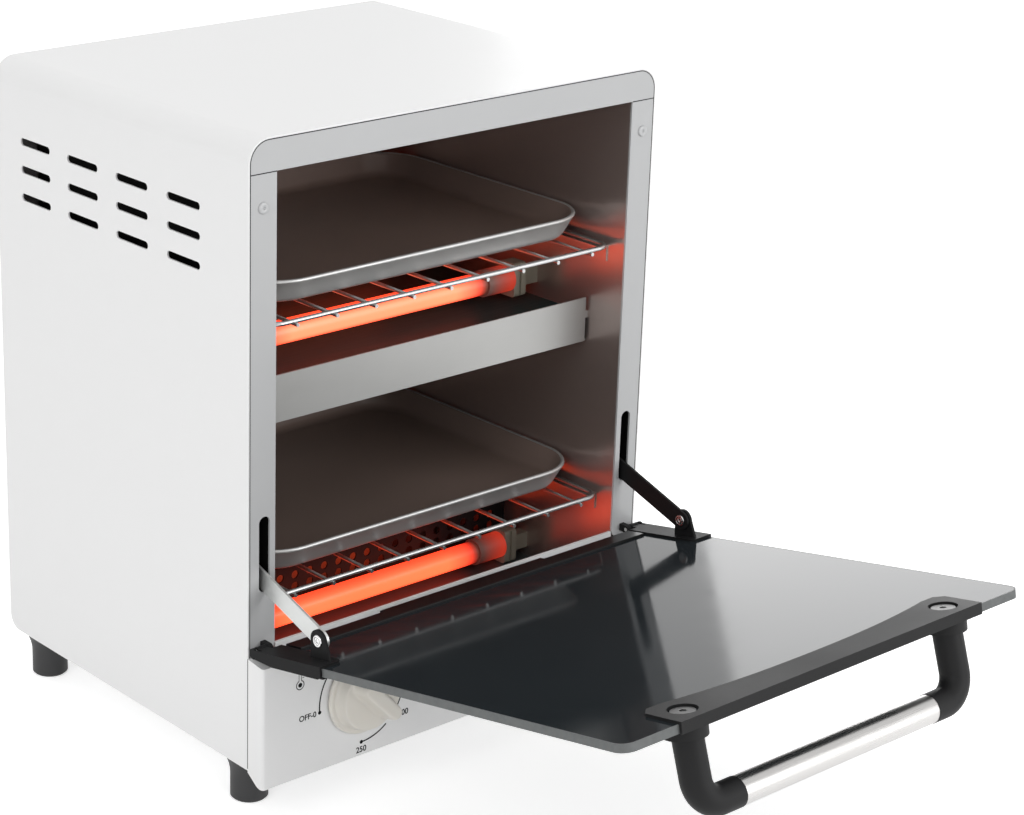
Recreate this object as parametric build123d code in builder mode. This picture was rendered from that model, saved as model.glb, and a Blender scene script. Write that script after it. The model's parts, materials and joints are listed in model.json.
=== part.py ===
from build123d import *
import os
from math import cos, radians, sin

os.makedirs("parts", exist_ok=True)

# A two-tier dry heat sterilizer with a glass door that folds down on its lower edge.
# Millimetres, +Z up, +X to the right seen from the front, the door to -Y. The origin is on the
# bench, in the middle of the footprint that the instrument takes with its door open.

# ---- driving dimensions of the body ----
body_width = 264.0
body_depth = 216.0
body_height = 320.0
foot_height = 25.0
front_y = 20.0  # plane of the front face
corner_radius = 12.0  # upper corners of the outer shell
shell_sheet = 1.0
front_sheet = 1.2
liner_sheet = 0.8

# ---- heights above the underside of the body ----
panel_top = 60.5
sill_top = 64.8
panel_bottom = -6.5
band_bottom = 303.4
shelf_bottom = 167.0
shelf_floor = 182.0
shelf_lip_top = 191.5
cavity_floor = 28.0
cavity_roof = 304.6
rack_heights = {"upper": 225.0, "lower": 84.5}
heater_heights = {"upper": 195.0, "lower": 38.6}

# ---- depths behind the front face ----
liner_depth = 200.0
shelf_front = 26.4
heater_depths = (70.0, 146.0)
guard_depth = 86.0
rack_front = 8.0
rack_back = 194.0
tray_front = 22.0
tray_back = 190.0

# ---- front frame ----
post_inner_x = 115.5
post_outer_x = 130.7
liner_inner_x = 116.3
link_slot_x = 122.0
link_slot_width = 6.6
link_slot_bottom = 93.4
link_slot_top = 132.9
panel_depth = 12.0  # how far the control panel stands out of the front face
panel_wall = 1.8
knob_x = 69.2
knob_height = 29.5
lamp_height = 41.0

# ---- door, which rests 11.5 degrees above level when it is open ----
door_rise = 11.5
hinge_out = 4.75  # hinge axis in front of the front face
hinge_height = 66.0
glass_half_width = 131.4
glass_thickness = 4.0
glass_near = 8.0  # distances from the hinge axis along the glass
glass_far = 254.5
ear_along = 42.8
ear_above = 10.2
handle_along = 244.3
handle_x = 86.3
handle_drop = 41.7
handle_tilt = 7.0  # degrees that the handle leans outwards from square to the glass
bar_half = 64.3
elbow_radius = 7.1
bar_radius = 6.9

# ---- door links ----
link_rise = 18.0  # degrees above level with the door open
link_length = 68.0
link_inner_x = 121.2
link_sheet = 1.4
link_half_height = 5.0

# ---- fits ----
pin_radius = 1.0
rivet_radius = 2.0
shaft_radius = 3.0
running_clearance = 0.05
body_gap = 0.3

# ---- places that follow from them ----
base_z = foot_height
top_z = base_z + body_height
half_width = body_width / 2
inner_half = half_width - shell_sheet
back_y = front_y + body_depth
rise = radians(door_rise)
hinge_y = front_y - hinge_out
hinge_z = base_z + hinge_height
ear_y = hinge_y - ear_along * cos(rise) + ear_above * sin(rise)
ear_z = hinge_z + ear_along * sin(rise) + ear_above * cos(rise)
link_end_y = ear_y + link_length * cos(radians(link_rise))
link_end_z = ear_z + link_length * sin(radians(link_rise))
sides = {"left": -1, "right": 1}


def depth(distance):
    """The y of a place this far behind the front face."""
    return front_y + distance


def height(above):
    """The z of a place this far above the underside of the body."""
    return base_z + above


def facing_front(y):
    """Sketch plane at y: sketch x is +X, sketch y is +Z, and it extrudes towards the front."""
    return Plane.XZ.offset(-y)


def across(x):
    """Sketch plane at x: sketch x is +Y, sketch y is +Z, and it extrudes towards +X."""
    return Plane.YZ.offset(x)


def on_door(above):
    """Plane parallel to the glass, this far above its top face; sketch -y leads from the hinge."""
    top = Plane(origin=(0, hinge_y, hinge_z), x_dir=(1, 0, 0), z_dir=(0, sin(rise), cos(rise)))
    return top.offset(above)


def beside_door(x):
    """Plane at x: sketch x runs along the glass, sketch y stands up from it, extrudes to -X."""
    return Plane(origin=(x, hinge_y, hinge_z), x_dir=(0, -cos(rise), sin(rise)), z_dir=(-1, 0, 0))


def door_slab(side, near, far):
    """Plane beside the door from which an extrusion of far - near fills |x| near to far."""
    return beside_door(far if side > 0 else -near)


def strip(points, thickness):
    """Outline of a bent sheet whose left face follows the points."""
    path = [Vector(*p) for p in points]
    legs = [(b - a).normalized() for a, b in zip(path, path[1:])]
    outward = [Vector(leg.Y, -leg.X) for leg in legs]
    far = [path[0] + outward[0] * thickness]
    for i in range(1, len(legs)):
        both = outward[i - 1] + outward[i]
        far.append(path[i] + both * (thickness / both.dot(outward[i])))
    far.append(path[-1] + outward[-1] * thickness)
    return [(p.X, p.Y) for p in path + far[::-1]]


def save(piece, name):
    """Label a finished piece and write its file."""
    piece.part.label = name
    export_step(piece.part, f"parts/{name}.step")


def write_screws(name, places, out, head_radius, head_height, screw_radius, length):
    """Cross-recessed screws, each head on its place and facing out, in one node."""
    with BuildPart() as screws:
        for place in places:
            seat = Plane(origin=place, z_dir=out)
            with BuildSketch(seat.offset(-length)):
                Circle(screw_radius)
            extrude(amount=length)
            with BuildSketch(seat):
                Circle(head_radius)
            extrude(amount=head_height / 2)
            with BuildSketch(seat.offset(head_height / 2)):
                Circle(head_radius)
            extrude(amount=head_height / 2, taper=40)
            with BuildSketch(seat.offset(head_height * 0.55)):
                Rectangle(head_radius * 1.1, head_radius * 0.26)
                Rectangle(head_radius * 0.26, head_radius * 1.1)
            extrude(amount=head_height, mode=Mode.SUBTRACT)
    save(screws, name)


# =====================================================================================
# Outer casing
# =====================================================================================

# Folded sheet over both sides and the top, with rows of slots high in each side.
louvre_length = 26.8
louvre_width = 4.0
louvre_pitch = (42.7, 14.7)
louvre_centre = (115.2, 265.5)
rear_corner = 8.0
with BuildPart() as outer_shell:
    with BuildSketch(facing_front(front_y)):
        with Locations((0, base_z + body_height / 2)):
            outline = Rectangle(body_width, body_height)
        fillet(outline.vertices().group_by(Axis.Y)[-1], corner_radius)
    extrude(amount=-body_depth)
    with BuildSketch(facing_front(front_y)):
        with Locations((0, base_z + (body_height - shell_sheet) / 2)):
            inside = Rectangle(2 * inner_half, body_height - shell_sheet)
        fillet(inside.vertices().group_by(Axis.Y)[-1], corner_radius - shell_sheet)
    extrude(amount=-body_depth, mode=Mode.SUBTRACT)
    with BuildSketch(across(-half_width)):
        with Locations((depth(louvre_centre[0]), height(louvre_centre[1]))):
            with GridLocations(*louvre_pitch, 4, 3):
                SlotOverall(louvre_length, louvre_width)
    extrude(amount=body_width, mode=Mode.SUBTRACT)
    lowest = outer_shell.edges().filter_by(Axis.X).group_by(Axis.Z)[0]
    fillet(lowest.group_by(Axis.Y)[-1], rear_corner)
save(outer_shell, "outer_shell")

# Bottom plate, curled up at the back to follow the rounded corners of the shell.
foot_inset_x = 14.0
foot_inset_y = 17.0
foot_places = {
    f"{row}_{name}": (side * (half_width - foot_inset_x), y)
    for row, y in (("front", depth(foot_inset_y)), ("rear", back_y - foot_inset_y))
    for name, side in sides.items()
}
curl_top = 11.0
plate_front = depth(front_sheet)
with BuildPart() as bottom_plate:
    with BuildSketch(across(-inner_half)):
        with BuildLine():
            under = FilletPolyline(
                (plate_front, base_z), (back_y, base_z), (back_y, height(curl_top)), radius=rear_corner
            )
            over = FilletPolyline(
                (plate_front, base_z + shell_sheet),
                (back_y - shell_sheet, base_z + shell_sheet),
                (back_y - shell_sheet, height(curl_top)),
                radius=rear_corner - shell_sheet,
            )
            Line(under @ 0, over @ 0)
            Line(under @ 1, over @ 1)
        make_face()
    extrude(amount=2 * inner_half)
    with BuildSketch(Plane.XY.offset(base_z)):
        with Locations(*foot_places.values()):
            Circle(2.2)
    extrude(amount=shell_sheet, mode=Mode.SUBTRACT)
save(bottom_plate, "bottom_plate")

# Rear cover with two vent fields, the mains gland's hole and its screw holes.
gland_place = (92.0, height(22.0))
gland_radius = 6.5
rear_screws = [(side * 122.0, height(z)) for side in sides.values() for z in (24.0, 158.0, 290.0)]
with BuildPart() as rear_cover:
    with BuildSketch(facing_front(back_y - shell_sheet)):
        with Locations((0, (height(curl_top) + top_z - shell_sheet) / 2)):
            cover = Rectangle(2 * inner_half, body_height - curl_top - shell_sheet)
        fillet(cover.vertices().group_by(Axis.Y)[-1], corner_radius - shell_sheet)
        with Locations((0, height(256.0))):
            with GridLocations(40.0, 10.0, 5, 5):
                SlotOverall(28.0, 3.0, mode=Mode.SUBTRACT)
        with Locations((-60.0, height(26.0))):
            with GridLocations(0, 8.0, 1, 3):
                SlotOverall(60.0, 3.0, mode=Mode.SUBTRACT)
        with Locations(gland_place):
            Circle(gland_radius, mode=Mode.SUBTRACT)
        with Locations(*rear_screws):
            Circle(1.6, mode=Mode.SUBTRACT)
    extrude(amount=-shell_sheet)
save(rear_cover, "rear_cover")
write_screws("rear_cover_screws", [(x, back_y, z) for x, z in rear_screws], (0, 1, 0), 3.4, 2.2, 1.6, 8.0)

# Gland for the mains lead: a nut outside, a sleeve through the cover, a collar inside.
with BuildPart() as cord_gland:
    with BuildSketch(facing_front(back_y)):
        with Locations(gland_place):
            RegularPolygon(9.0, 6)
    extrude(amount=-5.0)
    with BuildSketch(facing_front(back_y + 5.0)):
        with Locations(gland_place):
            Circle(7.4)
    extrude(amount=-3.0, taper=25)
    with BuildSketch(facing_front(back_y)):
        with Locations(gland_place):
            Circle(gland_radius)
    extrude(amount=shell_sheet)
    with BuildSketch(facing_front(back_y - shell_sheet)):
        with Locations(gland_place):
            Circle(8.5)
    extrude(amount=4.0)
    with BuildSketch(facing_front(back_y - 10.0)):
        with Locations(gland_place):
            Circle(3.6)
    extrude(amount=-20.0, mode=Mode.SUBTRACT)
save(cord_gland, "cord_gland")

# Four feet: straight sided, flared into the wide disc that meets the bottom plate.
foot_radius = 9.7
flare_radius = 12.4
foot_recess = 3.5
for name, place in foot_places.items():
    with BuildPart() as foot:
        with BuildSketch(Plane(origin=(*place, 0), x_dir=(1, 0, 0), z_dir=(0, -1, 0))):
            with BuildLine():
                straight = Polyline((0, 0), (foot_radius - 1, 0), (foot_radius, 1), (foot_radius, 13.0))
                flare = TangentArc(straight @ 1, (flare_radius, foot_height - 1.5), tangent=straight % 1)
                Polyline(flare @ 1, (flare_radius, foot_height), (0, foot_height), (0, 0))
            make_face()
        revolve(axis=Axis((*place, 0), (0, 0, 1)))
        with BuildSketch(Plane.XY):
            with Locations(place):
                Circle(4.8)
        extrude(amount=foot_recess, mode=Mode.SUBTRACT)
        with BuildSketch(Plane.XY):
            with Locations(place):
                Circle(2.0)
        extrude(amount=foot_height, mode=Mode.SUBTRACT)
    save(foot, f"foot_{name}")
foot_screws = [(x, y, foot_recess) for x, y in foot_places.values()]
write_screws("foot_screws", foot_screws, (0, 0, -1), 4.0, 2.0, 2.0, 24.0)

# =====================================================================================
# Front frame
# =====================================================================================

# Flat band over the opening; its lower edge turns back under the cavity roof.
with BuildPart() as front_band:
    with BuildSketch(facing_front(front_y)):
        with Locations((0, base_z + (body_height - shell_sheet - body_gap) / 2)):
            arch = Rectangle(2 * post_outer_x, body_height - shell_sheet - body_gap)
        fillet(arch.vertices().group_by(Axis.Y)[-1], corner_radius - shell_sheet - body_gap)
        with Locations((0, height(band_bottom) + 20.0)):
            Rectangle(body_width, 40.0, mode=Mode.INTERSECT)
    extrude(amount=-front_sheet)
    with BuildSketch(facing_front(depth(front_sheet))):
        with Locations((0, height(band_bottom) + 0.5)):
            Rectangle(2 * post_inner_x, 1.0)
    extrude(amount=-9.0)
save(front_band, "front_band")

# Flat posts each side of the opening, with the slot that the door link passes through.
post_screw_x = 123.4
post_screw_height = 286.8
post_bottom = height(panel_top) + body_gap
post_top = height(band_bottom) - body_gap
post_middle = (post_bottom + post_top) / 2
for name, side in sides.items():
    with BuildPart() as post:
        with BuildSketch(facing_front(front_y)):
            with Locations((side * (post_inner_x + post_outer_x) / 2, post_middle)):
                face = Rectangle(post_outer_x - post_inner_x, post_top - post_bottom)
            fillet(face.vertices().group_by(Axis.Y)[0].sort_by(Axis.X)[-1 if side < 0 else 0], 5.0)
            slot_middle = (link_slot_bottom + link_slot_top) / 2
            with Locations((side * link_slot_x, height(slot_middle))):
                SlotOverall(
                    link_slot_top - link_slot_bottom, link_slot_width, rotation=90, mode=Mode.SUBTRACT
                )
            with Locations((side * post_screw_x, height(post_screw_height))):
                Circle(1.6, mode=Mode.SUBTRACT)
        extrude(amount=-front_sheet)
    save(post, f"side_post_{name}")
post_screws = [(side * post_screw_x, front_y, height(post_screw_height)) for side in sides.values()]
write_screws("post_screws", post_screws, (0, -1, 0), 2.9, 1.0, 1.6, 7.0)

# Control panel: a box open at the back that stands out of the front under the door. Its underside
# slopes up to the casing; its top runs back between the posts and turns up into a low sill.
panel_slope = 1.5  # how far the top falls towards the front
panel_edge = 1.8  # rounding of the edges of the front
chin_near = 4.0  # where the underside begins to slope, behind the front
chin_rise = 5.5
chin_radius = 6.0
sill_sheet = 1.4
panel_face = front_y - panel_depth
with BuildPart() as control_panel:
    with BuildSketch(across(-half_width)):
        with BuildLine():
            Polyline(
                (front_y, height(panel_top)),
                (panel_face, height(panel_top - panel_slope)),
                (panel_face, height(panel_bottom)),
                (panel_face + chin_near, height(panel_bottom)),
                (front_y, height(panel_bottom + chin_rise)),
                close=True,
            )
        outside = make_face()
        fillet(outside.vertices().group_by(Axis.X)[1], chin_radius)
        fillet(outside.vertices().group_by(Axis.X)[0], panel_edge)
    extrude(amount=body_width)
    fillet(control_panel.edges().filter_by(Axis.Z).group_by(Axis.Y)[0], panel_edge)
    hollow_top = panel_top - panel_slope - panel_wall
    hollow_bottom = panel_bottom + panel_wall
    with BuildSketch(across(-half_width + panel_wall)):
        with BuildLine():
            Polyline(
                (front_y, height(hollow_top)),
                (panel_face + panel_wall, height(hollow_top)),
                (panel_face + panel_wall, height(hollow_bottom)),
                (panel_face + chin_near - 0.6, height(hollow_bottom)),
                (front_y, height(hollow_bottom + chin_rise + 0.5)),
                close=True,
            )
        make_face()
    extrude(amount=body_width - 2 * panel_wall, mode=Mode.SUBTRACT)
    with BuildSketch(Plane.XY.offset(height(panel_top) - panel_wall)):
        with Locations((0, depth(1.6))):
            Rectangle(2 * post_inner_x - 1.0, 3.2)
    extrude(amount=panel_wall)
    with BuildSketch(facing_front(depth(sill_sheet))):
        with Locations((0, height((panel_top + sill_top) / 2))):
            Rectangle(2 * post_inner_x - 1.0, sill_top - panel_top)
    extrude(amount=sill_sheet)
    with BuildSketch(facing_front(front_y)):
        with Locations((-knob_x, height(knob_height)), (knob_x, height(knob_height))):
            Circle(3.8)
        with Locations((0, height(lamp_height))):
            Circle(4.0)
    extrude(amount=panel_depth, mode=Mode.SUBTRACT)
save(control_panel, "control_panel")

# Lugs on the posts that carry the door's hinge pins, and the pins.
lug_inner_x = 121.4
lug_outer_x = 124.4
lug_radius = 2.0
knuckle_inner_x = 124.8
pin_end_x = 130.4
lug_width = lug_outer_x - lug_inner_x
with BuildPart() as hinge_lugs:
    for side in sides.values():
        with BuildSketch(across(side * lug_inner_x)):
            with Locations((hinge_y, hinge_z)):
                Circle(lug_radius)
            with Locations(((hinge_y + front_y) / 2, hinge_z)):
                Rectangle(hinge_out, 2 * lug_radius)
            with Locations((hinge_y, hinge_z)):
                Circle(pin_radius, mode=Mode.SUBTRACT)
        extrude(amount=side * lug_width)
save(hinge_lugs, "hinge_lugs")

with BuildPart() as hinge_pins:
    for side in sides.values():
        with BuildSketch(across(side * lug_inner_x)):
            with Locations((hinge_y, hinge_z)):
                Circle(pin_radius)
        extrude(amount=side * (pin_end_x - lug_inner_x))
save(hinge_pins, "hinge_pins")

# =====================================================================================
# Cavity
# =====================================================================================

liner_front = depth(front_sheet + 0.2)
liner_back_y = depth(liner_depth)
sill_back = 3.4  # depths between which the floor slopes down from the panel's edge
slope_back = 48.0
wall_skirt = 2.0  # how far the side walls reach below the floor
bulb_entry = (depth(124.0), height(69.0))
for name, side in sides.items():
    with BuildPart() as liner_side:
        with BuildSketch(across(side * liner_inner_x)):
            with BuildLine():
                Polyline(
                    (liner_front, height(panel_top) + body_gap),
                    (depth(sill_back), height(panel_top) - wall_skirt),
                    (depth(slope_back), height(cavity_floor) - wall_skirt),
                    (liner_back_y, height(cavity_floor) - wall_skirt),
                    (liner_back_y, height(cavity_roof) + liner_sheet),
                    (liner_front, height(cavity_roof) + liner_sheet),
                    close=True,
                )
            make_face()
            if side < 0:
                with Locations(bulb_entry):
                    Circle(2.4, mode=Mode.SUBTRACT)
        extrude(amount=side * liner_sheet)
    save(liner_side, f"liner_side_{name}")

with BuildPart() as liner_roof:
    with BuildSketch(Plane.XY.offset(height(cavity_roof))):
        with Locations((0, (liner_front + liner_back_y) / 2)):
            Rectangle(2 * liner_inner_x, liner_back_y - liner_front)
    extrude(amount=liner_sheet)
save(liner_roof, "liner_roof")

back_low = height(cavity_floor) - wall_skirt
back_high = height(cavity_roof) + liner_sheet
with BuildPart() as liner_back:
    with BuildSketch(facing_front(liner_back_y)):
        with Locations((0, (back_low + back_high) / 2)):
            Rectangle(2 * (liner_inner_x + liner_sheet), back_high - back_low)
    extrude(amount=-liner_sheet)
save(liner_back, "liner_back")

# Floor: hooked behind the panel's edge, sloping down to the flat under the lower heaters.
floor_line = [
    (depth(sill_back), height(panel_top) - 9.0),
    (depth(sill_back), height(panel_top) - 0.2),
    (depth(slope_back), height(cavity_floor)),
    (liner_back_y, height(cavity_floor)),
]
with BuildPart() as liner_floor:
    with BuildSketch(across(-liner_inner_x)):
        with BuildLine():
            Polyline(*strip(floor_line, liner_sheet), close=True)
        make_face()
    extrude(amount=2 * liner_inner_x)
save(liner_floor, "liner_floor")

# Shelf between the tiers: upper and lower sheets joined by a tall front lip with end tabs.
shelf_half = liner_inner_x - 0.1
lip_half = shelf_half - 1.6
sheet_front = depth(shelf_front) + liner_sheet
with BuildPart() as tier_shelf:
    with BuildSketch(facing_front(depth(shelf_front))):
        with Locations((0, height((shelf_bottom + shelf_lip_top) / 2))):
            Rectangle(2 * lip_half, shelf_lip_top - shelf_bottom)
        with Locations((0, height(shelf_bottom + 15.0))):
            Rectangle(2 * shelf_half, 4.0)
    extrude(amount=-liner_sheet)
    for sheet_height in (shelf_bottom, shelf_floor - liner_sheet):
        with BuildSketch(Plane.XY.offset(height(sheet_height))):
            with Locations((0, (sheet_front + liner_back_y) / 2)):
                Rectangle(2 * shelf_half, liner_back_y - sheet_front)
        extrude(amount=liner_sheet)
save(tier_shelf, "tier_shelf")

# Ledges that the racks slide on, two to a tier.
frame_wire = 1.25
cross_wire = 1.0
ledge_inner_x = 109.3
ledge_front = 14.0
ledge_length = 180.0
with BuildPart() as rack_ledges:
    for rack_height in rack_heights.values():
        ledge_top = height(rack_height) - frame_wire - body_gap
        for side in sides.values():
            wall_x = side * liner_inner_x
            with BuildSketch(facing_front(depth(ledge_front))):
                with BuildLine():
                    Polyline(
                        (wall_x, ledge_top),
                        (side * ledge_inner_x, ledge_top),
                        (side * ledge_inner_x, ledge_top - liner_sheet),
                        (wall_x - side * liner_sheet, ledge_top - liner_sheet),
                        (wall_x - side * liner_sheet, ledge_top - 9.0),
                        (wall_x, ledge_top - 9.0),
                        close=True,
                    )
                make_face()
            extrude(amount=-ledge_length)
save(rack_ledges, "rack_ledges")

# Quartz heaters across the bottom of each tier: tubes, coils, metal caps, ceramic holders.
tube_radius = 6.2
tube_wall = 1.0
tube_half = 92.0
coil_radius = 3.4
cap_start = 78.0
cap_end = 97.0
cap_radius = 7.4
holder_depth = 12.0
holder_tall = 19.0
holder_end = 105.5
stem_depth = 7.0
stem_tall = 9.0
heater_places = {
    tier: [(depth(d), height(above)) for d in heater_depths] for tier, above in heater_heights.items()
}
all_heaters = heater_places["upper"] + heater_places["lower"]
for tier, places in heater_places.items():
    with BuildPart() as tubes:
        with BuildSketch(across(-tube_half)):
            with Locations(*places):
                Circle(tube_radius)
                Circle(tube_radius - tube_wall, mode=Mode.SUBTRACT)
        extrude(amount=2 * tube_half)
    save(tubes, f"heater_tubes_{tier}")

with BuildPart() as heating_coils:
    with BuildSketch(across(-tube_half)):
        with Locations(*all_heaters):
            Circle(coil_radius)
    extrude(amount=2 * tube_half)
save(heating_coils, "heating_coils")

with BuildPart() as heater_caps:
    for side in sides.values():
        with BuildSketch(across(side * cap_start)):
            with Locations(*all_heaters):
                Circle(cap_radius)
        extrude(amount=side * (cap_end - cap_start))
        with BuildSketch(across(side * cap_start)):
            with Locations(*all_heaters):
                Circle(tube_radius)
        extrude(amount=side * (tube_half - cap_start), mode=Mode.SUBTRACT)
save(heater_caps, "heater_caps")

with BuildPart() as heater_holders:
    for side in sides.values():
        for y, z in all_heaters:
            with BuildSketch(across(side * cap_end)):
                with Locations((y, z - 0.7)):
                    RectangleRounded(holder_depth, holder_tall, 2.0)
            extrude(amount=side * (holder_end - cap_end))
            with BuildSketch(across(side * (cap_end + 3.2))):
                with Locations((y - holder_depth / 2, z - 0.7)):
                    Rectangle(2.4, holder_tall + 2.0)
            extrude(amount=side * 2.0, mode=Mode.SUBTRACT)
            with BuildSketch(across(side * holder_end)):
                with Locations((y, z - 0.7)):
                    Rectangle(stem_depth, stem_tall)
            extrude(amount=side * (liner_inner_x - holder_end))
save(heater_holders, "heater_holders")

# Perforated guard that stands behind the front heater of the lower tier.
guard_top = 56.0
guard_half = liner_inner_x - 0.3
hole_pitch = 10.0
guard_line = [
    (depth(guard_depth), height(guard_top)),
    (depth(guard_depth), height(cavity_floor)),
    (depth(guard_depth) + 9.0, height(cavity_floor)),
]
with BuildPart() as heater_guard:
    with BuildSketch(across(-guard_half)):
        with BuildLine():
            Polyline(*strip(guard_line[::-1], liner_sheet), close=True)
        make_face()
    extrude(amount=2 * guard_half)
    with BuildSketch(facing_front(depth(guard_depth) - 2.0)):
        for shift, row_height, count in ((0.0, 49.7, 22), (hole_pitch / 2, 43.1, 21)):
            with Locations((shift, height(row_height))):
                with GridLocations(hole_pitch, 0, count, 1):
                    Circle(2.3)
    extrude(amount=-6.0, mode=Mode.SUBTRACT)
save(heater_guard, "heater_guard")

# =====================================================================================
# Controls behind the panel
# =====================================================================================

control_front = front_y - 8.0
control_length = 23.0
panel_inside = panel_face + panel_wall
shaft_end = control_front + 12.0
control_low = 14.6
control_high = 44.4
for name, x, half_size in (("thermostat_body", -knob_x, 16.0), ("timer_body", knob_x, 18.0)):
    with BuildPart() as control:
        with BuildSketch(facing_front(control_front)):
            with Locations((x, height((control_low + control_high) / 2))):
                RectangleRounded(2 * half_size, control_high - control_low, 2.0)
        extrude(amount=-control_length)
        with BuildSketch(facing_front(control_front)):
            with Locations((x, height(knob_height))):
                Circle(5.5)
        extrude(amount=control_front - panel_inside)
        with BuildSketch(facing_front(panel_inside)):
            with Locations((x, height(knob_height))):
                Circle(shaft_radius + running_clearance)
        extrude(amount=-(shaft_end + 1.0 - panel_inside), mode=Mode.SUBTRACT)
    save(control, name)

knob_seat = panel_face - 0.4  # the knobs' back faces
knob_bore = 8.6
for name, x in (("temperature_shaft", -knob_x), ("timer_shaft", knob_x)):
    with BuildPart() as shaft:
        with BuildSketch(facing_front(shaft_end)):
            with Locations((x, height(knob_height))):
                Circle(shaft_radius)
        extrude(amount=shaft_end - knob_seat + knob_bore)
    save(shaft, name)

# Steel bell on the timer, struck at the end of its run.
bell_radius = 11.0
bell_x = knob_x + 18.0
bell_place = (depth(4.0), height(knob_height))
with BuildPart() as timer_bell:
    with BuildSketch(across(bell_x + 1.5)):
        with Locations(bell_place):
            Circle(bell_radius)
            Circle(bell_radius - 1.2, mode=Mode.SUBTRACT)
    extrude(amount=4.5)
    with BuildSketch(across(bell_x + 6.0)):
        with Locations(bell_place):
            Circle(bell_radius)
    extrude(amount=1.2)
    with BuildSketch(across(bell_x)):
        with Locations(bell_place):
            Circle(2.0)
    extrude(amount=6.0)
    fillet(timer_bell.edges().group_by(Axis.X)[-1], 1.0)
save(timer_bell, "timer_bell")

# Sensing bulb and its capillary tube, led through the left bay into the cavity.
bay_x = -(liner_inner_x + 6.6)
bulb_x = -(liner_inner_x - 4.4)
bulb_length = 50.0
capillary_radius = 0.9
with BuildPart() as thermostat_bulb:
    with BuildLine():
        route = FilletPolyline(
            (-knob_x - 16.0, depth(8.0), height(22.0)),
            (bay_x, depth(8.0), height(22.0)),
            (bay_x, depth(80.0), height(22.0)),
            (bay_x, bulb_entry[0], bulb_entry[1]),
            (bulb_x, bulb_entry[0], bulb_entry[1]),
            (bulb_x, bulb_entry[0] + 12.0, bulb_entry[1]),
            radius=5.0,
        )
    with BuildSketch(Plane(origin=route @ 0, z_dir=route % 0)):
        Circle(capillary_radius)
    sweep()
    with BuildSketch(facing_front((route @ 1).Y - 1.0)):
        with Locations((bulb_x, bulb_entry[1])):
            Circle(2.5)
    extrude(amount=-bulb_length)
save(thermostat_bulb, "thermostat_bulb")

# Indicator lamp: lens through the panel and the socket behind it.
with BuildPart() as indicator_lens:
    with BuildSketch(facing_front(panel_inside)):
        with Locations((0, height(lamp_height))):
            Circle(4.0)
    extrude(amount=panel_wall + 2.2)
    fillet(indicator_lens.edges().group_by(Axis.Y)[0], 1.6)
save(indicator_lens, "indicator_lens")

with BuildPart() as lamp_socket:
    with BuildSketch(facing_front(panel_inside)):
        with Locations((0, height(lamp_height))):
            Circle(5.5)
    extrude(amount=-14.0)
save(lamp_socket, "lamp_socket")

# Terminal block for the mains lead, on the bottom plate.
block_place = (58.0, depth(186.0))
with BuildPart() as terminal_block:
    with BuildSketch(Plane.XY.offset(base_z + shell_sheet)):
        with Locations(block_place):
            RectangleRounded(34.0, 14.0, 1.5)
    extrude(amount=14.0)
    with BuildSketch(Plane.XY.offset(base_z + shell_sheet + 14.0)):
        with Locations(block_place):
            with GridLocations(10.0, 0, 3, 1):
                Circle(2.2)
    extrude(amount=-6.0, mode=Mode.SUBTRACT)
save(terminal_block, "terminal_block")

# =====================================================================================
# Knobs
# =====================================================================================

# Round skirt, raised body and a tapered grip across it; the angle is the grip's at rest.
skirt_radius = 22.4
skirt_height = 2.6
grip_radius = 19.2
grip_length = 38.0
grip_width = 14.5
for name, x, angle in (("temperature_knob", -knob_x, -46.0), ("timer_knob", knob_x, 90.0)):
    with BuildPart() as knob:
        with BuildSketch(facing_front(knob_seat)):
            with Locations((x, height(knob_height))):
                Circle(skirt_radius)
        extrude(amount=skirt_height)
        chamfer(knob.edges().group_by(Axis.Y)[0], 0.9)
        with BuildSketch(facing_front(knob_seat - skirt_height)):
            with Locations((x, height(knob_height))):
                Circle(grip_radius)
        extrude(amount=6.4, taper=12)
        with BuildSketch(facing_front(knob_seat - skirt_height)):
            with Locations((x, height(knob_height))):
                SlotOverall(grip_length, grip_width, rotation=angle)
        extrude(amount=15.4, taper=14)
        fillet(knob.edges().group_by(Axis.Y)[0], 1.6)
        with BuildSketch(facing_front(knob_seat)):
            with Locations((x, height(knob_height))):
                Circle(shaft_radius)
        extrude(amount=knob_bore, mode=Mode.SUBTRACT)
    save(knob, name)

# =====================================================================================
# Racks and trays
# =====================================================================================

# Wire rack: a rounded frame with cross wires under it that just show at the front.
rack_half = 111.6
cross_pitch = 24.4
cross_count = 9
cross_ends = 0.8
for tier, rack_height in rack_heights.items():
    wire_z = height(rack_height)
    front_wire = depth(rack_front)
    back_wire = depth(rack_back)
    with BuildPart() as rack:
        with BuildLine():
            loop = FilletPolyline(
                (-rack_half, front_wire, wire_z),
                (rack_half, front_wire, wire_z),
                (rack_half, back_wire, wire_z),
                (-rack_half, back_wire, wire_z),
                radius=7.0,
                close=True,
            )
        with BuildSketch(Plane(origin=loop @ 0, z_dir=loop % 0)):
            Circle(frame_wire)
        sweep()
        with BuildSketch(facing_front(front_wire - frame_wire - cross_ends)):
            with Locations((0, wire_z - frame_wire - cross_wire + 0.5)):
                with GridLocations(cross_pitch, 0, cross_count, 1):
                    Circle(cross_wire)
        extrude(amount=-(back_wire - front_wire + 2 * frame_wire + 1.2 * cross_ends))
    save(rack, f"rack_{tier}")

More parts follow.
